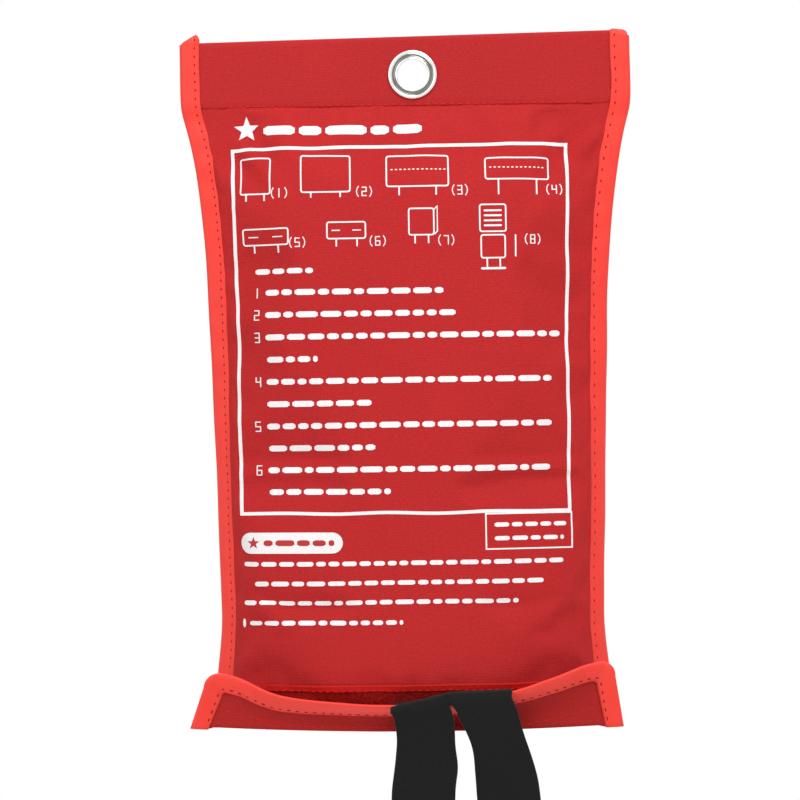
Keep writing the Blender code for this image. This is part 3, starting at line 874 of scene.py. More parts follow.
def folded_tape(name, edge, out_dir, face_dir, open_half, slant, seed):
    """Bias tape folded over an edge.

    edge is the fold's path, out_dir points away from the cloth it holds, face_dir is across the two leaves,
    open_half is half the gap between them, and slant says how far down the cut end lies across the tape.
    Returns the piece, and the path along each leaf where its stitches run.
    """
    arc = arc_length(edge)
    span = np.linspace(BINDING, TAPE_NOSE, 15)
    inset = BINDING - 2.1 * MM
    shares, cuts = np.array(slant).T
    at_end = 1 - smooth(arc / (9 * MM))
    puff = 0.5 * MM * np.sin(arc / MM / 2.1 + seed) * (0.5 + 0.5 * np.sin(arc / MM / 13 + 2 * seed))
    grid, weave_v = [], []

    def leaf(sign, stations):
        for s in stations:
            mid = math.sin(math.pi * min(s / BINDING, 1.0))
            sunk = 0.26 * MM * math.exp(-(((s - inset) / (0.65 * MM)) ** 2))
            lift = open_half + 0.34 * MM * mid + puff * 0.35 * mid - sunk
            edge_slack = 0.4 * MM * (s / BINDING) * np.sin(arc / MM / 3.7 + 1.7 * seed + sign)
            row = edge - out_dir * (s + edge_slack * 0.3)[:, None] + face_dir * (sign * lift)[:, None]
            row[:, 2] -= float(np.interp(s / BINDING, shares, cuts)) * MM * at_end
            grid.append(row)
            weave_v.append(sign * s)

    leaf(-1, span)
    for a in np.linspace(-math.pi / 2, math.pi / 2, 7)[1:-1]:
        nose = np.maximum(open_half, 0.7 * MM) * math.sin(a)
        row = edge - out_dir * (TAPE_NOSE * (1 - math.cos(a))) + face_dir * nose[:, None]
        row[:, 2] -= cuts[0] * MM * at_end
        grid.append(row)
        weave_v.append(a * 0.7 * MM)
    leaf(1, span[::-1])
    grid = np.array(grid)
    obj = thick_sheet(name, grid, TAPE_THICK, BINDING_RED, layout(arc[None, :], np.array(weave_v)[:, None]))
    sewn_row = int(np.argmin(np.abs(span - inset)))
    runs = [(grid[row] + face_dir * sign * TAPE_THICK / 2, face_dir * sign)
            for sign, row in ((-1, sewn_row), (1, len(grid) - 1 - sewn_row))]
    return obj, runs


# How far down the hand-cut top end lies, in millimetres, from the fold (share 0) to the sewn edge (share 1).
LEFT_CUT = ((0, 1.9), (0.84, -2.15), (0.93, -1.4), (1, 0.3))
RIGHT_CUT = ((0, 0.6), (0.14, -0.9), (0.3, -1.6), (0.88, -2.1), (1, -1.6))


def side_binding(name, node, side):
    depths = np.concatenate([np.linspace(0.2 * MM, HEADER, 14), np.linspace(HEADER + 2 * MM, 277 * MM, 120)])
    angle = turned(depths)
    edge_x = outline(depths) + 0.42 * MM * ripple(depths / MM / 12, 0 * depths, 61 + side)
    edge_y = (BINDING - 0.6 * MM) * np.sin(angle)
    edge = world(side * edge_x, edge_y, depths)
    out_dir = np.stack([side * np.cos(angle), np.sin(angle), 0 * angle], axis=-1)
    face_dir = np.stack([-side * np.sin(angle), np.cos(angle), 0 * angle], axis=-1)
    over_header = 1 - smooth((depths - HEADER) / (5 * MM))
    open_half = 0.85 * MM + 1.05 * MM * over_header
    slant = LEFT_CUT if side < 0 else RIGHT_CUT
    obj, runs = folded_tape(name, edge, out_dir, face_dir, open_half, slant, 3 + side)
    place(obj, "binding", node)
    return runs


def side_bindings():
    for name, side, length, gap in (("left", -1, 1.4 * MM, 2.0 * MM), ("right", 1, 1.7 * MM, 2.9 * MM)):
        runs = side_binding(f"{name}_binding_tape", f"{name}_binding", side)
        place(sewn(f"{name}_binding_stitches", runs, THREAD_SHADED, length, gap, 0.24 * MM), "binding")


side_bindings()


# ---------------------------------------------------------------- loop strip and front hem

def strip_on_panel(name, depths, share, lift, thickness, material, wobble=0.0):
    """A strip across the front panel; share is how much of the way to the seams it reaches."""
    shares, rows = np.meshgrid(np.linspace(-1, 1, 160), depths)
    x = shares * (seam_x(rows) * share)
    rough = wobble * ripple(x / MM * 1.9, rows / MM * 2.3, 52, 2)
    points, normals = FRONT_FACE.at(x, rows, lift + thickness / 2)
    return thick_sheet(name, points + normals * rough[..., None], thickness, material, layout(x, rows))


def loop_strip():
    pile_depths = np.linspace(LOOP_TOP, PANEL_END - 0.3 * MM, 14)
    strip = strip_on_panel("loop_strip_pile", pile_depths, 0.97, 0.05 * MM, 0.9 * MM, LOOP_RED, 0.08 * MM)
    place(strip, "loop", "loop_strip", slack=True)
    edge_depths = np.linspace(LOOP_TOP - 0.2 * MM, LOOP_TOP + 2.3 * MM, 5)
    edge = strip_on_panel("loop_strip_selvedge", edge_depths, 0.975, 0.75 * MM, 0.5 * MM, SELVEDGE_RED)
    place(edge, "loop", slack=True)
    runs = []
    for depth, lift in ((LOOP_TOP + 0.1 * MM, 1.25 * MM), (LOOP_TOP + 2.0 * MM, 1.25 * MM),
                        (PANEL_END - 2.0 * MM, 1.0 * MM)):
        runs.append(FRONT_FACE.at(np.linspace(-0.95, 0.95, 120) * float(seam_x(depth)), depth, lift))
    place(sewn("loop_strip_stitches", runs, THREAD_RED, 2.6 * MM, 0.5 * MM, 0.2 * MM), "loop", slack=True)


loop_strip()


# ---------------------------------------------------------------- print

INK_LIFT = 0.20 * MM


# The seven strokes of a digit, as shares of its width and half its height, and those that make 1 to 8.
SEGMENTS = {"a": ((0, -1), (1, -1)), "b": ((1, -1), (1, 0)), "c": ((1, 0), (1, 1)), "d": ((0, 1), (1, 1)),
            "e": ((0, 0), (0, 1)), "f": ((0, -1), (0, 0)), "g": ((0, 0), (1, 0))}
SEGMENTS_LIT = ("bc", "abged", "abgcd", "fgbc", "afgcd", "afgedc", "abc", "abcdefg")


class Print:
    """Flat ink shapes on the front. x and depth are millimetres from the centre line and the top edge."""

    def __init__(self, base=0.0):
        self.base = base
        self.verts, self.faces = [], []

    def patch(self, rows, cell=1.5):
        """A thin closed patch of ink from a grid of (x, depth) points, in cells that follow the cloth."""
        grid = np.array([list(r) for r in rows], float)
        for axis in (0, 1):
            steps = np.linalg.norm(np.diff(grid, axis=axis), axis=-1).max(axis=1 - axis)
            parts = [np.linspace(i, i + 1, max(1, math.ceil(n / cell)) + 1)[:-1] for i, n in enumerate(steps)]
            t = np.append(np.concatenate(parts), len(steps))
            i = np.minimum(t.astype(int), len(steps) - 1)
            f = (t - i).reshape(-1, 1, 1)
            g = np.moveaxis(grid, axis, 0)
            grid = np.moveaxis(g[i] * (1 - f) + g[i + 1] * f, 0, axis)
        height, width = grid.shape[:2]
        start, count = len(self.verts), height * width
        for lift in (self.base + INK_LIFT, self.base - 0.12 * MM):
            points, _ = FRONT_FACE.at(grid[..., 0] * MM, grid[..., 1] * MM, lift)
            self.verts += list(points.reshape(-1, 3))
        self.faces += grid_faces(height, width, start)
        self.faces += grid_faces(height, width, start + count, flip=True)
        rim = rim_of(height, width)
        for i, v in enumerate(rim):
            w = rim[(i + 1) % len(rim)]
            self.faces.append((start + w, start + v, start + count + v, start + count + w))

    def bar(self, x, depth, length, thick, step=3.0):
        """A word-like bar with rounded ends."""
        n = max(2, int(length / step) + 1)
        ends = min(thick * 0.45, length * 0.3)
        inner = np.linspace(x + ends, x + length - ends, n)
        xs = np.unique(np.round(np.concatenate([[x], inner, [x + length]]), 4))
        half = np.where((xs <= x + 1e-3) | (xs >= x + length - 1e-3), thick * 0.26, thick / 2)
        self.patch([[(a, depth - h) for a, h in zip(xs, half)], [(a, depth) for a in xs],
                    [(a, depth + h) for a, h in zip(xs, half)]])

    def line(self, points, thick, closed=False, step=2.5):
        """A stroke of even width along a path."""
        path = [np.array(p, float) for p in points]
        if closed:
            path.append(path[0])
        dense = []
        for a, b in zip(path, path[1:]):
            n = max(1, int(np.linalg.norm(b - a) / step))
            dense += [a + (b - a) * i / n for i in range(n)]
        if not closed:
            dense.append(path[-1])
        count = len(dense)
        left, right = [], []
        for i, p in enumerate(dense):
            before = dense[i - 1] if (closed or i > 0) else p
            after = dense[(i + 1) % count] if (closed or i < count - 1) else p
            d1 = unit(after - p)
            tangent = unit(unit(p - before) + d1)
            across = np.array([-tangent[1], tangent[0]])
            reach = thick / 2 / max(0.5, abs(across @ np.array([-d1[1], d1[0]])) or 1.0)
            if np.linalg.norm(d1) < 0.5:
                reach = thick / 2
            left.append(p + across * reach)
            right.append(p - across * reach)
        if closed:
            left.append(left[0])
            right.append(right[0])
        for i in range(0, len(left) - 1, 24):
            self.patch([left[i:i + 25], right[i:i + 25]])

    def star(self, x, depth, radius):
        """A plain five-pointed star."""
        points = []
        for i in range(10):
            r = radius if i % 2 == 0 else radius * 0.42
            a = -math.pi / 2 + math.pi * i / 5
            points.append((x + r * math.cos(a), depth + r * math.sin(a)))
        for i in range(1, 10, 2):
            tip = points[(i + 1) % 10]
            self.patch([[points[i], tip], [(x, depth), points[(i + 2) % 10]]])

    def digit(self, number, x, depth, height):
        """A plain step number in straight strokes."""
        w, h, grow = height * 0.5, height / 2, 0.14
        x -= w / 2 if number == 1 else 0
        for name in SEGMENTS_LIT[number - 1]:
            (ax, ay), (bx, by) = [(w * across, h * down) for across, down in SEGMENTS[name]]
            dx, dy = np.sign(bx - ax) * grow, np.sign(by - ay) * grow
            self.line([(x + ax - dx, depth + ay - dy), (x + bx + dx, depth + by + dy)], 0.42, step=9)

    def step_number(self, number, x, depth, height):
        """A step number between two round brackets."""
        self.digit(number, x, depth, height)
        middle = x + height * 0.25
        arc = [(1.35 * math.cos(a) - 0.45, 1.1 * math.sin(a)) for a in np.linspace(-0.62, 0.62, 5)]
        for side in (-1, 1):
            self.line([(middle + side * height * px, depth + height * py) for px, py in arc], 0.38, step=9)

    def words(self, x, depth, end, thick, rng, longest=9.0):
        """A row of word-like bars with even gaps."""
        while x < end - 1.2:
            length = min(rng.uniform(3.4, longest), end - x)
            if length > 1.2:
                self.bar(x, depth, length, thick)
            x += length + 1.15

    def build(self, name, material):
        obj = new_object(name, self.verts, self.faces, material, False)
        fix_normals(obj)
        place(obj, "panel", slack=True)


def box_path(x0, d0, x1, d1):
    return [(x0, d0), (x1, d0), (x1, d1), (x0, d1)]


def soft_box(x0, d0, x1, d1, r=0.8):
    """A box with its corners rounded off."""
    points = []
    corners = box_path(x0 + r, d0 + r, x1 - r, d1 - r)
    for (cx, cd), first in zip(corners[1:] + corners[:1], (-90, 0, 90, 180)):
        turns = [math.radians(first + a) for a in (0, 45, 90)]
        points += [(cx + r * math.cos(a), cd + r * math.sin(a)) for a in turns]
    return points


def pictogram(ink_layer, x, depth, width, height, legs, reach=2.6, dotted=False, inner=False):
    """A plain folded sheet with its two pull tapes."""
    ink_layer.line(soft_box(x, depth, x + width, depth + height), 0.6, closed=True)
    foot = depth + height
    for share in legs:
        ink_layer.line([(x + width * share, foot), (x + width * share, foot + reach)], 0.6, step=9)
    if dotted:
        a = x + 1.6
        while a < x + width - 1.8:
            ink_layer.bar(a, depth + height * 0.45, 0.95, 0.45)
            a += 1.75
    if inner:
        middle = depth + height * 0.5
        for a, b in ((0.12, 0.34), (0.66, 0.88)):
            ink_layer.line([(x + width * a, middle), (x + width * b, middle)], 0.45, step=9)


def printed_front():
    rng = np.random.default_rng(812)
    white = Print()
    # Heading: a star and a row of plain bars.
    white.star(-64.6, 36.9, 5.3)
    x = -57.4
    for length in (12.5, 9.0, 16.5, 7.5, 11.5):
        white.bar(x, 37.9, length, 3.7)
        x += length + 1.7
    # Hand-drawn frame round the steps.
    corners = [(-70.4, 45.4), (64.9, 44.6), (63.7, 192.6), (-68.4, 192.2)]
    path = []
    for (ax, ay), (bx, by) in zip(corners, corners[1:] + corners[:1]):
        across = abs(bx - ax) > abs(by - ay)
        for t in np.linspace(0, 1, 46)[:-1]:
            wander = 0.30 * math.sin(math.pi * t) * math.sin(19 * t + ax * 0.3)
            px, py = ax + (bx - ax) * t, ay + (by - ay) * t
            path.append((px, py + wander) if across else (px + wander, py))
    white.line(path, 1.35, closed=True, step=3.4)
    # The steps as plain sheets in two rows: x, depth, width, height, length of the tapes.
    top = [(-67.0, 49.2, 12.2, 14.4, 2.8, False), (-42.4, 48.6, 19.6, 14.8, 2.2, False),
           (-8.0, 49.2, 24.6, 12.4, 3.6, True), (31.6, 50.6, 25.6, 8.6, 6.2, True)]
    for i, (x, d, w, h, reach, dotted) in enumerate(top):
        pictogram(white, x, d, w, h, (0.2, 0.8), reach, dotted)
        white.step_number(i + 1, (-51.0, -17.0, 21.4, 59.4)[i] - 1.0, 63.4, 3.4)
    low = [(-66.4, 77.6, 18.6, 6.4, 3.2), (-32.2, 75.6, 15.4, 6.6, 3.2), (0.6, 70.6, 10.0, 10.6, 3.4),
           (29.4, 81.6, 9.6, 9.2, 3.6)]
    for i, (x, d, w, h, reach) in enumerate(low):
        pictogram(white, x, d, w, h, (0.24, 0.78), reach, inner=i < 2)
        white.step_number(i + 5, (-44.0, -11.8, 15.6, 50.2)[i] - 1.0, 83.4, 3.4)
    white.line([(10.6, 71.2), (12.0, 69.8), (12.0, 79.8), (10.8, 81.0)], 0.5, step=9)
    white.line(soft_box(29.0, 69.4, 39.4, 80.2), 0.6, closed=True)
    for row in range(4):
        white.bar(30.6, 71.8 + row * 2.0, 7.2, 0.75)
    white.bar(29.2, 95.0, 10.0, 0.9)
    white.line([(43.2, 81.6), (43.2, 90.4)], 0.6, step=9)
    # Numbered rows.
    white.words(-62.0, 94.8, -38.0, 2.2, rng, 8.0)
    ends = (14.0, 20.4, 61.0, -36.6, 57.0, -15.4, 56.8, -14.2, 57.4, -8.2)
    firsts = (0, 1, 2, 4, 6, 8)
    for row, end in enumerate(ends):
        depth = 103.4 + 8.91 * row
        if row in firsts:
            white.digit(firsts.index(row) + 1, -62.2, depth, 3.7)
            white.words(-57.6, depth, end, 2.35, rng)
        else:
            white.words(-57.2, depth, end, 2.35, rng)
    # Boxed panel at the lower right.
    white.line(box_path(29.6, 193.4, 64.4, 207.4), 0.6, closed=True)
    white.words(33.0, 197.8, 62.0, 1.7, rng, 7.0)
    white.words(33.0, 203.2, 61.0, 1.7, rng, 7.0)
    # Care heading on a white lozenge, with fine rows under it.
    lozenge(white, -69.0, 199.8, 41.4, 8.4)
    fine = ((212.4, -67.6, 60.6), (220.2, -63.0, 54.0), (228.0, -67.6, 42.2), (236.2, -65.6, -4.0))
    for depth, start, end in fine:
        white.words(start, depth, end, 1.85, rng, 7.5)
    white.bar(-68.4, 236.2, 1.0, 3.4)
    white.build("front_print_white", WHITE_INK)
    red = Print(0.06 * MM)
    red.star(-63.6, 204.0, 2.5)
    red.words(-59.4, 204.0, -31.0, 2.3, rng, 8.0)
    red.build("front_print_red", RED_INK)


def lozenge(layer, x, depth, width, height):
    """A bar with round ends."""
    r = height / 2
    turns = np.linspace(0.15, math.pi / 2, 6)
    stations = [(x + r - r * math.cos(a), r * math.sin(a)) for a in turns]
    stations += [(x + r + (width - 2 * r) * t, r) for t in np.linspace(0, 1, 12)[1:-1]]
    stations += [(x + width - r + r * math.cos(a), r * math.sin(a)) for a in turns[::-1]]
    layer.patch([[(px, depth + r + k * h) for px, h in stations] for k in (-1.0, -0.5, 0.0, 0.5, 1.0)])


printed_front()


# ---------------------------------------------------------------- bottom fold and flap

FLAP_HALF = 86.5 * MM
FLAP_HALF_TOP = 82.3 * MM
FLAP_SHIFT = -3.0 * MM
FLAP_LEAN = 0.065
FLAP_BASE_Y = -18.2 * MM
FLAP_ROUND = 6.0 * MM
FLAP_TAPE = 7.2 * MM
CURL = math.radians(55)
# The free edge's line, as x and depth in millimetres.
FLAP_LINE = np.array([(-90, 255.3), (-76, 255.6), (-69, 256.8), (-62, 260.6), (-54, 264.4), (-42, 266.6),
                      (-18, 268.9), (4, 269.5), (20, 268.9), (39, 264.6), (46, 262.9), (54, 260.0),
                      (62, 257.4), (67, 255.1), (72, 253.4), (90, 253.2)])


def flap_top(x):
    """Depth of the flap's free edge: high at both ends, and pushed down and open by the tapes between."""
    xs, depths = FLAP_LINE.T
    shifts = np.linspace(-4.5, 4.5, 7)
    return sum(np.interp(x / MM + shift, xs, depths) for shift in shifts) / len(shifts) * MM


def flap_curl(x):
    """How far the free edge leans out, as an angle from upright."""
    share = np.clip(np.abs(x - 2 * MM) / (76 * MM), 0, 1)
    return CURL * (1 - share**2.4) + math.radians(4)


def flap_bottom(x):
    """Depth and y of the crease between the bottom fold and the flap."""
    share = np.clip(np.abs(x) / FLAP_HALF, 0, 1)
    low = BOTTOM - 2.3 * MM + 2.5 * MM * (1 - share**2) + 0.8 * MM * x / FLAP_HALF
    return low, FLAP_BASE_Y - 0.8 * MM * (1 - share**2)


def flap_profile(x):
    """Steps of depth and y from the crease to the free edge at each x, and the cloth's length there."""
    t = (np.arange(24) + 0.5) / 24
    angle = flap_curl(x)[..., None] * smooth((t - 0.05) / 0.55)
    rise, out = np.cos(angle) / 24, np.sin(angle) / 24
    depth_low, _ = flap_bottom(x)
    length = (depth_low - flap_top(x)) / rise.sum(-1)
    zero = np.zeros((*np.shape(x), 1))
    rise = np.concatenate([zero, np.cumsum(rise, -1)], -1)
    out = np.concatenate([zero, np.cumsum(out, -1)], -1)
    return rise * length[..., None], out * length[..., None], length


def flap_surface(x, up, lift=0.0):
    """Points of the flap at x and a distance up the cloth from the crease; lift is along its outer normal."""
    x, up = np.broadcast_arrays(np.asarray(x, float), np.asarray(up, float))

    def point(x, up):
        rise, out, length = flap_profile(x)
        t = np.clip(up / length, -0.2, 1.2) * 24
        i = np.clip(np.floor(t).astype(int), 0, 23)
        f = t - i
        rise, out = [np.take_along_axis(a, i[..., None], -1)[..., 0] * (1 - f)
                     + np.take_along_axis(a, i[..., None] + 1, -1)[..., 0] * f for a in (rise, out)]
        depth_low, y_low = flap_bottom(x)
        share = np.clip(up / length, 0, 1)
        slack = 0.35 * MM * ripple(x / MM / 8, up / MM / 9, 91) * share
        return world(x + FLAP_SHIFT + FLAP_LEAN * up, y_low - out + slack, depth_low - rise)

    step = 0.2 * MM
    sideways = point(x + step, up) - point(x - step, up)
    normal = unit(np.cross(sideways, point(x, up + step) - point(x, up - step)))
    normal = np.where((normal[..., 1] < 0)[..., None], normal, -normal)
    return point(x, up) + normal * np.asarray(lift, float)[..., None], normal


def flap_outline(inset, start=0.0):
    """The flap's edge, inset, from its lower left corner round to its lower right, as x and up."""
    radius = max(FLAP_ROUND, inset + 2.4 * MM)
    ends = []
    for side in (-1, 1):
        corner_x = FLAP_HALF_TOP - radius
        side_up = float(flap_profile(np.array(side * corner_x))[2])
        turn_up = side_up - radius
        slope = (FLAP_HALF - FLAP_HALF_TOP) / turn_up
        half = [(FLAP_HALF_TOP + slope * (turn_up - u) - inset, u) for u in np.linspace(start, turn_up, 12)]
        for a in np.linspace(0, math.pi / 2, 14)[1:]:
            half.append((corner_x + (radius - inset) * math.cos(a), turn_up + (radius - inset) * math.sin(a)))
        ends.append([(side * x, u) for x, u in half])
    xs = np.linspace(-corner_x, corner_x, 110)[1:-1]
    tops = list(zip(xs, flap_profile(xs)[2] - inset))
    return np.array(ends[0] + tops + ends[1][::-1])


def flap_pieces():
    edge = flap_outline(0.8 * MM, 1.4 * MM)
    low_end = FLAP_HALF - 0.8 * MM
    bottom = np.stack([np.linspace(-low_end, low_end, len(edge)), np.zeros(len(edge))], -1)
    t = np.linspace(0, 1, 15)[:, None, None]
    plan = bottom[None] * (1 - t) + edge[None] * t
    grid, _ = flap_surface(plan[..., 0], plan[..., 1])
    cloth = thick_sheet("flap_cloth", grid, CLOTH, FLAP_SHADED_RED, layout(plan[..., 0], plan[..., 1]))
    across_flap(cloth, "panel", "flap_panel")
    # Hook strip inside the flap, and the stitches that hold it, seen on the outside.
    x = np.linspace(-70 * MM, 70 * MM, 90)
    room = flap_profile(x)[2] - 7.4 * MM
    t = np.linspace(0, 1, 8)[:, None]
    up = 1.6 * MM + (room - 1.6 * MM)[None] * t
    inner, _ = flap_surface(np.broadcast_to(x, up.shape), up, -1.0 * MM)
    hook = thick_sheet("hook_strip_pile", inner, 0.8 * MM, HOOK_RED, layout(x, up))
    across_flap(hook, "hook", "hook_strip")
    x = np.linspace(-FLAP_HALF + 9.5 * MM, FLAP_HALF - 9.5 * MM, 140)
    low = 1.5 * MM + 6.8 * MM * np.clip((np.abs(x) - 42 * MM) / (38 * MM), 0, 1) ** 1.5
    run = flap_surface(x, low, CLOTH / 2)
    across_flap(sewn("hook_strip_stitches", [run], THREAD_RED, 2.4 * MM, 0.8 * MM, 0.19 * MM), "panel")


EDGE_TAPE_THICK = 0.42 * MM
EDGE_TAPE_BEND = 1.0 * MM


def edge_tape_rows(leaf):
    """The folded tape of the flap and the fold, as (inset from the edge, height on one side or the other)."""
    insets = np.linspace(FLAP_TAPE, EDGE_TAPE_BEND, 8)
    turns = np.linspace(-math.pi / 2, math.pi / 2, 7)[1:-1]
    rows = [(inset, -leaf) for inset in insets]
    rows += [(EDGE_TAPE_BEND * (1 - math.cos(a)), leaf * math.sin(a)) for a in turns]
    return rows + [(inset, leaf) for inset in insets[::-1]]


def flap_edging():
    """The tape round the flap's free edge."""
    leaf, below = 0.62 * MM, -1.1 * MM
    arc = arc_length(flap_outline(0.0, below))
    grid, weave = [], []
    for k, (inset, height) in enumerate(edge_tape_rows(leaf)):
        plan = flap_outline(inset, below)
        share = min(inset / FLAP_TAPE, 1.0)
        puff = 0.30 * MM * math.sin(math.pi * share)
        gathers = np.sin(arc / MM / 1.9 + 0.5 * k) * (0.4 + 0.6 * np.sin(arc / MM / 17))
        lift = -np.sign(height) * (abs(height) + puff + 0.14 * MM * gathers * share)
        points, _ = flap_surface(plan[:, 0], plan[:, 1], lift)
        grid.append(points)
        weave.append(layout(arc, inset if height < 0 else -inset))
    tape = thick_sheet("flap_binding_tape", np.array(grid), EDGE_TAPE_THICK, BINDING_RED, np.array(weave))
    across_flap(tape, "binding", "flap_binding")
    plan = flap_outline(FLAP_TAPE - 1.3 * MM, 1.0 * MM)
    runs = []
    for sign in (1, -1):
        points, normal = flap_surface(plan[:, 0], plan[:, 1], sign * (leaf + EDGE_TAPE_THICK))
        runs.append((points, normal * sign))
    across_flap(sewn("flap_binding_stitches", runs, THREAD_SHADED, 1.7 * MM, 1.8 * MM, 0.22 * MM), "binding")


def across_flap(obj, slot, *nodes):
    """A piece of the flap, which leaves the bottom fold at its crease; its transform is baked in."""
    place(obj, slot, *nodes, body=None)
    _, y, z = joint("flap_open")["pos_m"]
    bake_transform(obj)


def across_fold(obj, slot, *nodes):
    """A piece of the bottom fold, which leaves the back panel at its turn; its transform is baked in."""
    place(obj, slot, *nodes, body=None)
    _, y, z = joint("fold_open")["pos_m"]
    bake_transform(obj)


FOLD_TURN = 0.12


def fold_edge(t):
    """Half the bottom fold's width over its bindings, from the back panel at 0 to the flap's crease at 1."""
    back = float(seam_x(np.array(PANEL_END))) + 4 * MM
    return back + (FLAP_HALF - 0.7 * MM - back) * smooth(t * 1.1)


def fold_surface(x, t, drop=0.0):
    """Points of the bottom fold; drop is downwards."""
    share = np.clip(x / fold_edge(t), -1, 1)
    back_row = BACK[-1]
    y_back = np.interp(x, back_row[:, 0] - CENTRE_X, back_row[:, 1]) + 0.3 * MM
    depth_front, y_front = flap_bottom(share * FLAP_HALF)
    turn = 1 - np.minimum(1.0, t / FOLD_TURN)
    sag = 0.7 * MM * np.sin(math.pi * t) * (1 - share**2)
    depth = 277.2 * MM * turn**2 + (depth_front + sag) * (1 - turn**2)
    depth = depth + 0.25 * MM * np.sin(x / MM / 7.0 + 4 * t) * np.sin(math.pi * t)
    out = drop * turn
    return world(x + FLAP_SHIFT * smooth(t), y_back + (y_front - y_back) * t + out, depth + drop * (1 - turn))


def fold_pieces():
    t, share = np.meshgrid(np.linspace(0, 1, 24), np.linspace(-1, 1, 90), indexing="ij")
    x = share * (fold_edge(t) - 0.8 * MM)
    grid = fold_surface(x, t)
    cloth = thick_sheet("bottom_fold_cloth", grid, CLOTH, PANEL_RED, cloth_lengths(grid))
    across_fold(cloth, "panel", "bottom_fold")
    leaf = 0.6 * MM
    line = np.linspace(0.07, 0.95, 40)
    runs = []
    for side, name in ((-1, "left"), (1, "right")):
        grid, weave = [], []
        for inset, drop in edge_tape_rows(leaf):
            puff = 0.3 * MM * math.sin(math.pi * min(inset / FLAP_TAPE, 1.0))
            x = side * (fold_edge(line) - inset)
            grid.append(fold_surface(x, line, drop + np.sign(drop) * puff))
            weave.append(layout(line * 0.033, inset if drop > 0 else -inset))
        grid, weave = np.array(grid), np.array(weave)
        tape = thick_sheet(f"{name}_fold_binding_tape", grid, EDGE_TAPE_THICK, BINDING_RED, weave)
        across_fold(tape, "binding", f"{name}_fold_binding")
        inside = side * (fold_edge(line) - FLAP_TAPE + 1.7 * MM)
        points = fold_surface(inside, line, leaf + EDGE_TAPE_THICK)
        runs.append((points, np.tile([0.0, 0.0, -1.0], (len(line), 1))))
    across_fold(sewn("fold_binding_stitches", runs, THREAD_SHADED, 1.7 * MM, 1.8 * MM, 0.22 * MM), "binding")


flap_pieces()
flap_edging()
fold_pieces()


# ---------------------------------------------------------------- pull tapes

WEBBING_HALF = 12.5 * MM
WEBBING_THICK = 1.15 * MM


def box_middle(node):
    low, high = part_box(node)
    return (low + high) / 2


def tape_centres(side):
    """The tape's middle line in (x, y, depth) from its sewn end to its hanging end, and the slope of its top.

    path is how far the hanging part wanders sideways, as (distance below the crest, shift) in millimetres.
    """
    riser_y = box_middle(f"{side}_tape_riser").y
    x = box_middle(f"{side}_tape_wrap").x - CENTRE_X
    if side == "left":
        crest, slope, fall = 267.2 * MM, -5.0 * MM, -30.2 * MM
        x = x - 0.9 * MM
        path = [(0, 0), (5, 1.2), (12, 2.2), (18, 1.7), (24, 0.8), (35, -0.1), (60, 0.2), (90, 0.6)]
    else:
        crest, slope, fall = 264.1 * MM, -0.8 * MM, -30.4 * MM
        x = x - 3.5 * MM
        path = [(0, 0), (6, 1.8), (12, 4.0), (18, 6.1), (24, 7.7), (35, 10.1), (45, 11.5), (90, 17.0)]
    points = [(x, -6 * MM, 278.3 * MM), (x, -12 * MM, 278.4 * MM), (x, riser_y + 1.2 * MM, 278.2 * MM),
              (x, riser_y, 276.6 * MM), (x, riser_y - 0.2 * MM, 272 * MM), (x, riser_y - 1.6 * MM, 268 * MM),
              (x, riser_y - 4.0 * MM, crest + 1.2 * MM), (x, riser_y - 8 * MM, crest),
              (x, fall + 1.4 * MM, crest + 0.5 * MM), (x, fall, crest + 3 * MM)]
    drop, shift = np.array(path, float).T * MM
    for depth in np.linspace(crest + 8 * MM, 349.0 * MM, 12):
        run = depth - crest
        sway = 0.7 * MM * math.sin(run / MM / 11.0 + (0.4 if side == "left" else 2.2))
        points.append((x + float(np.interp(run, drop, shift)), fall + sway - 0.3 * MM, depth))
    return np.array(points), slope


def spline(points, count):
    """Evenly spaced points on a smooth curve through the given ones."""
    path = finer(points[:, None, :].repeat(2, axis=1), 12)[:, 0]
    arc = arc_length(path)
    return along(path, arc, np.linspace(0, arc[-1], count))


def tape_grid(side, count=150, columns=15):
    centre, slope = tape_centres(side)
    line = spline(centre, count)
    arc = arc_length(line)
    y, depth = line[:, 1], line[:, 2]
    outside = y < -27 * MM
    hang = smooth((depth - 268 * MM) / (25 * MM)) * outside
    over = np.exp(-((y + 25 * MM) / (8 * MM)) ** 2) * (depth < 274 * MM)
    over = np.where(outside, np.exp(-np.maximum(depth - 268 * MM, 0) / (6 * MM)), over)
    pinch = 0.13 * np.exp(-((depth - 283 * MM) / (12 * MM)) ** 2) * (side == "right") * outside
    # The left tape's inner edge tucks in where the other tape crosses the flap beside it.
    tuck = 0.19 * (1 - smooth((depth - 282 * MM) / (14 * MM)) * outside)
    grid = np.zeros((count, columns, 3))
    seed = 1.0 if side == "left" else 4.0
    for c, s in enumerate(np.linspace(-1, 1, columns)):
        across = np.zeros((count, 3))
        across[:, 0] = WEBBING_HALF * s * (1 - 0.02 * hang - pinch)
        if side == "left" and s > 0:
            across[:, 0] *= 1 - tuck
        edge = abs(s) ** 1.6
        wavy = (0.7 if side == "left" else 1.0) * MM
        curl = wavy * edge * np.sin(arc / MM / 7.5 + seed + 1.2 * (s > 0))
        across[:, 1] = hang * (curl - 0.3 * MM * (1 - s * s))
        across[:, 0] += hang * 0.55 * MM * np.sin(arc / MM / 9 + seed * 2) * edge
        across[:, 2] = over * slope * s / 2
        grid[:, c] = line + across
    return grid, arc


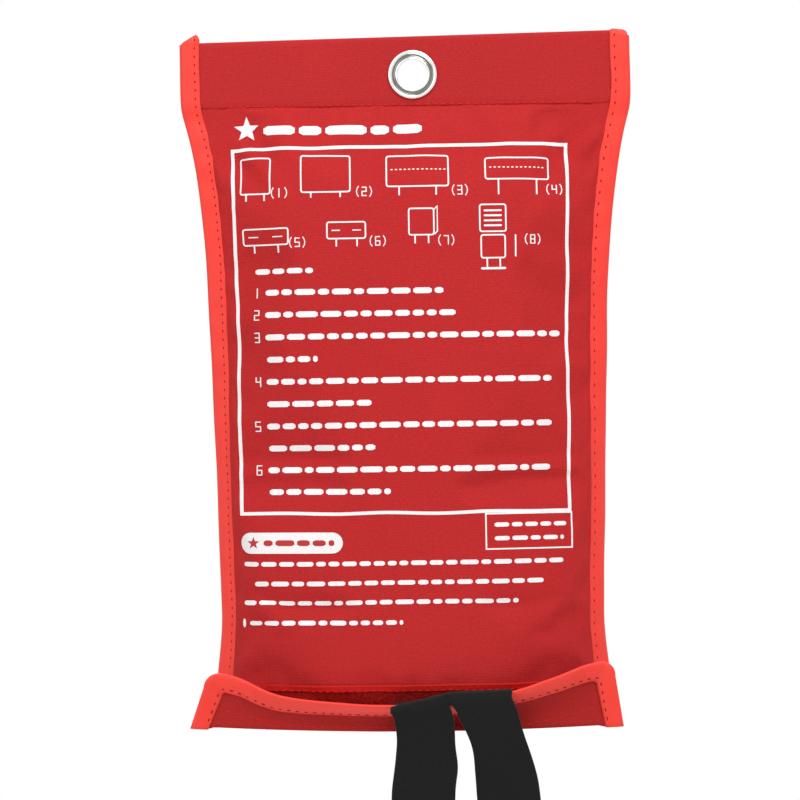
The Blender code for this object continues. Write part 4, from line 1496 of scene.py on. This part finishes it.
def tape_pieces(side):
    grid, arc = tape_grid(side)
    points = world(grid[..., 0], grid[..., 1], grid[..., 2])
    across = np.linspace(-WEBBING_HALF, WEBBING_HALF, points.shape[1])
    weave = layout(across[None, :], arc[:, None] + (0.0 if side == "left" else 0.4))
    riser, wrap, tail = [Vector(joint(f"{side}_{turn}")["pos_m"])
                         for turn in ("riser_turn", "wrap_turn", "tail_swing")]
    middle = grid[:, grid.shape[1] // 2]
    mid_riser = int(np.argmax(middle[:, 2] < 272.5 * MM))
    mid_wrap = int(np.argmax(middle[:, 1] < -29.6 * MM))
    cuts = [(0, mid_riser + 1), (mid_riser, mid_wrap + 1), (mid_wrap, len(arc))]
    names = [f"{side}_tape_rising", f"{side}_tape_crossing", f"{side}_tape_hanging"]
    chain = ["blanket", f"{side}_riser", f"{side}_wrap", f"{side}_tail"]
    bodies = list(zip(chain, chain[1:]))
    stand_for = [(f"{side}_tape_root", f"{side}_tape_riser"), (f"{side}_tape_wrap",), (f"{side}_tape_tail",)]
    up = Vector((0, 0, 1))
    hinges = [(riser - up * 0.6 * MM, riser + up * 2.5 * MM),
              (wrap - up * 8 * MM, wrap + Vector((0, -4 * MM, -2 * MM))),
              (tail + up * 2 * MM, tail - up * 5 * MM)]
    for (a, b), name, pair, nodes, (start, end) in zip(cuts, names, bodies, stand_for, hinges):
        piece = thick_sheet(name, points[a:b], WEBBING_THICK, BLACK_WEB, weave[a:b])
        place(piece, "webbing", *nodes, body=None)
        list(pair)
        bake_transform(piece)
        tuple(start)
        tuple(end)


tape_pieces("left")
tape_pieces("right")


# ---------------------------------------------------------------- folded blanket

LAYERS = 8
LEAF = 1.0 * MM
BLANKET_MIDDLE = (BLANKET_HIGH.x + BLANKET_LOW.x) / 2 - CENTRE_X
BLANKET_BOTTOM = TOP_Z - BLANKET_LOW.z - 1.2 * MM


def layer_y(k, x, depth):
    """Where the middle of leaf k lies; the leaves lie closer together towards the top."""
    return (-1 + (2 * k + 1) / LAYERS) * blanket_room(depth) * blanket_fit(x)


def layer_wander(k, share, depth):
    return 0.28 * MM * ripple(share * 3.1, depth / MM / 30, 71 + k) * blanket_fit(share * BLANKET_HALF)


def blanket_layers():
    """The folded block's leaves, as grids with their weave and thickness."""
    top, bottom = BLANKET_TOP, BLANKET_BOTTOM
    s, d = np.meshgrid(np.sin(np.linspace(-1, 1, 41) * math.pi / 2), np.linspace(top, bottom, 60))
    for k in range(LAYERS):
        wander = layer_wander(k, s, d) * (1 if 0 < k < LAYERS - 1 else 0.6)
        in_x = 1.4 * MM * (k % 3) + 0.5 * MM * np.sin(d / MM / 15 + k)
        x = BLANKET_MIDDLE + s * (BLANKET_HALF - in_x)
        inset = 0.8 * (k % 4) * MM
        depth = top + inset + (d - top) * (bottom - top - inset - 1.1 * (k % 3) * MM) / (bottom - top)
        yield world(x, layer_y(k, s * BLANKET_HALF, d) + wander, depth), layout(x + 0.17 * k, depth), LEAF
    # Rolled folds that join neighbouring leaves at the sides.
    d = np.linspace(top + 4 * MM, bottom - 3 * MM, 50)
    for k in range(LAYERS - 1):
        side = 1 if k % 2 else -1
        y0, y1 = layer_y(k, BLANKET_HALF, d), layer_y(k + 1, BLANKET_HALF, d)
        rows = []
        for a in np.linspace(-math.pi / 2, math.pi / 2, 9):
            y = (y0 + y1) / 2 + (y1 - y0) / 2 * math.sin(a)
            out = BLANKET_HALF - 2.6 * MM + 1.9 * MM * math.cos(a)
            rows.append(world(BLANKET_MIDDLE + side * out, y, d))
        yield np.array(rows), layout(np.linspace(0, 0.004, 9)[:, None], d), 0.8 * LEAF


def blanket_piece():
    """The folded block of woven glass cloth, joined to one piece."""
    verts, faces, weave = [], [], []
    for grid, plan, thickness in blanket_layers():
        leaf = thick_sheet("leaf", grid, thickness, None, plan)
        base = len(verts)
        verts += [tuple(v.co) for v in leaf.data.vertices]
        faces += [tuple(base + i for i in p.vertices) for p in leaf.data.polygons]
        values = np.zeros(len(leaf.data.vertices) * 3, np.float32)
        leaf.data.attributes["weave"].data.foreach_get("vector", values)
        weave += values.reshape(-1, 3).tolist()
        bpy.data.objects.remove(leaf)
    block = new_object("folded_blanket", verts, faces, GLASS_CLOTH, True, weave)
    place(block, "glass_cloth", "blanket", body="blanket")


def blanket_hem():
    """Stitches down both sides of the front leaf and along its lower end."""
    runs = []
    down = np.linspace(BLANKET_TOP + 6 * MM, BLANKET_BOTTOM - 6 * MM, 90)
    lines = [(s + 0 * down, down) for s in (-0.86, 0.86)]
    share = np.linspace(-0.86, 0.86, 70)
    lines.append((share, BLANKET_BOTTOM - 8 * MM + 0 * share))
    for s, d in lines:
        y = layer_y(0, s * BLANKET_HALF, d) + 0.6 * layer_wander(0, s, d) - LEAF / 2
        runs.append((world(BLANKET_MIDDLE + s * BLANKET_HALF, y, d), np.tile([0.0, -1.0, 0.0], (len(d), 1))))
    hem = sewn("blanket_hem_stitches", runs, THREAD_CREAM, 3.0 * MM, 1.2 * MM, 0.25 * MM)
    place(hem, "glass_cloth", body="blanket")


blanket_piece()
blanket_hem()


# ---------------------------------------------------------------- stage, light and camera

PICTURE_MIDDLE = Vector((0, 0, -0.13))


def stage():
    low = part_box("left_tape_tail")[0].z
    z = low - joint("blanket_pull")["range_m"][1] - 0.06
    radii, count = (0.4, 0.8, 1.1), 48
    turns = [2 * math.pi * i / count for i in range(count)]
    verts = [(0.0, 0.0, z)] + [(r * math.cos(a), r * math.sin(a), z) for r in radii for a in turns]
    faces = [(0, 1 + i, 1 + (i + 1) % count) for i in range(count)]
    for k in range(len(radii) - 1):
        a, b = 1 + k * count, 1 + (k + 1) * count
        faces += [(a + i, b + i, b + (i + 1) % count, a + (i + 1) % count) for i in range(count)]
    floor = new_object("floor", verts, faces, paper_floor("pale_floor"))


def area_light(name, location, size, power):
    data = bpy.data.lights.new(name, "AREA")
    data.shape = "SQUARE"
    data.size = size
    data.energy = power
    obj = bpy.data.objects.new(name, data)
    bpy.context.scene.collection.objects.link(obj)
    obj.location = location
    obj.rotation_euler = (PICTURE_MIDDLE - Vector(location)).to_track_quat("-Z", "Y").to_euler()


def lights():
    """White surroundings, dimmer as a light than they look, and three soft lamps."""
    scene = bpy.context.scene
    scene.world = bpy.data.worlds.new("studio")
    scene.world.use_nodes = True
    tree = scene.world.node_tree
    background, bright = tree.nodes["Background"], tree.nodes.new("ShaderNodeBackground")
    for node, strength in ((background, 0.62), (bright, 1.0)):
        node.inputs["Color"].default_value = (1, 1, 1, 1)
        node.inputs["Strength"].default_value = strength
    path = tree.nodes.new("ShaderNodeLightPath")
    mix = tree.nodes.new("ShaderNodeMixShader")
    seen = tree.nodes.new("ShaderNodeMath")
    seen.operation = "MAXIMUM"
    tree.links.new(path.outputs["Is Camera Ray"], seen.inputs[0])
    tree.links.new(path.outputs["Is Glossy Ray"], seen.inputs[1])
    tree.links.new(seen.outputs[0], mix.inputs["Fac"])
    tree.links.new(background.outputs[0], mix.inputs[1])
    tree.links.new(bright.outputs[0], mix.inputs[2])
    tree.links.new(mix.outputs[0], tree.nodes["World Output"].inputs["Surface"])
    area_light("key", (0.26, -0.68, 0.72), 0.7, 8.4)
    area_light("fill", (-0.70, -0.85, 0.30), 0.8, 2.8)
    area_light("back", (0.0, 0.95, 0.55), 0.8, 7.0)
    scene.view_settings.view_transform = "Standard"
    scene.view_settings.look = "None"


def camera():
    data = bpy.data.cameras.new("camera")
    data.lens = 200
    data.sensor_width = 36
    obj = bpy.data.objects.new("camera", data)
    bpy.context.scene.collection.objects.link(obj)
    picture_width = 324.2 * MM
    distance = picture_width * data.lens / data.sensor_width
    target = Vector((CENTRE_X - 4.0 * MM, 0.0, TOP_Z - 147.1 * MM))
    obj.location = target + Vector((0, -distance, 0))
    obj.rotation_euler = (math.radians(90), math.radians(0.85), 0)
    bpy.context.scene.camera = obj


stage()
lights()
camera()
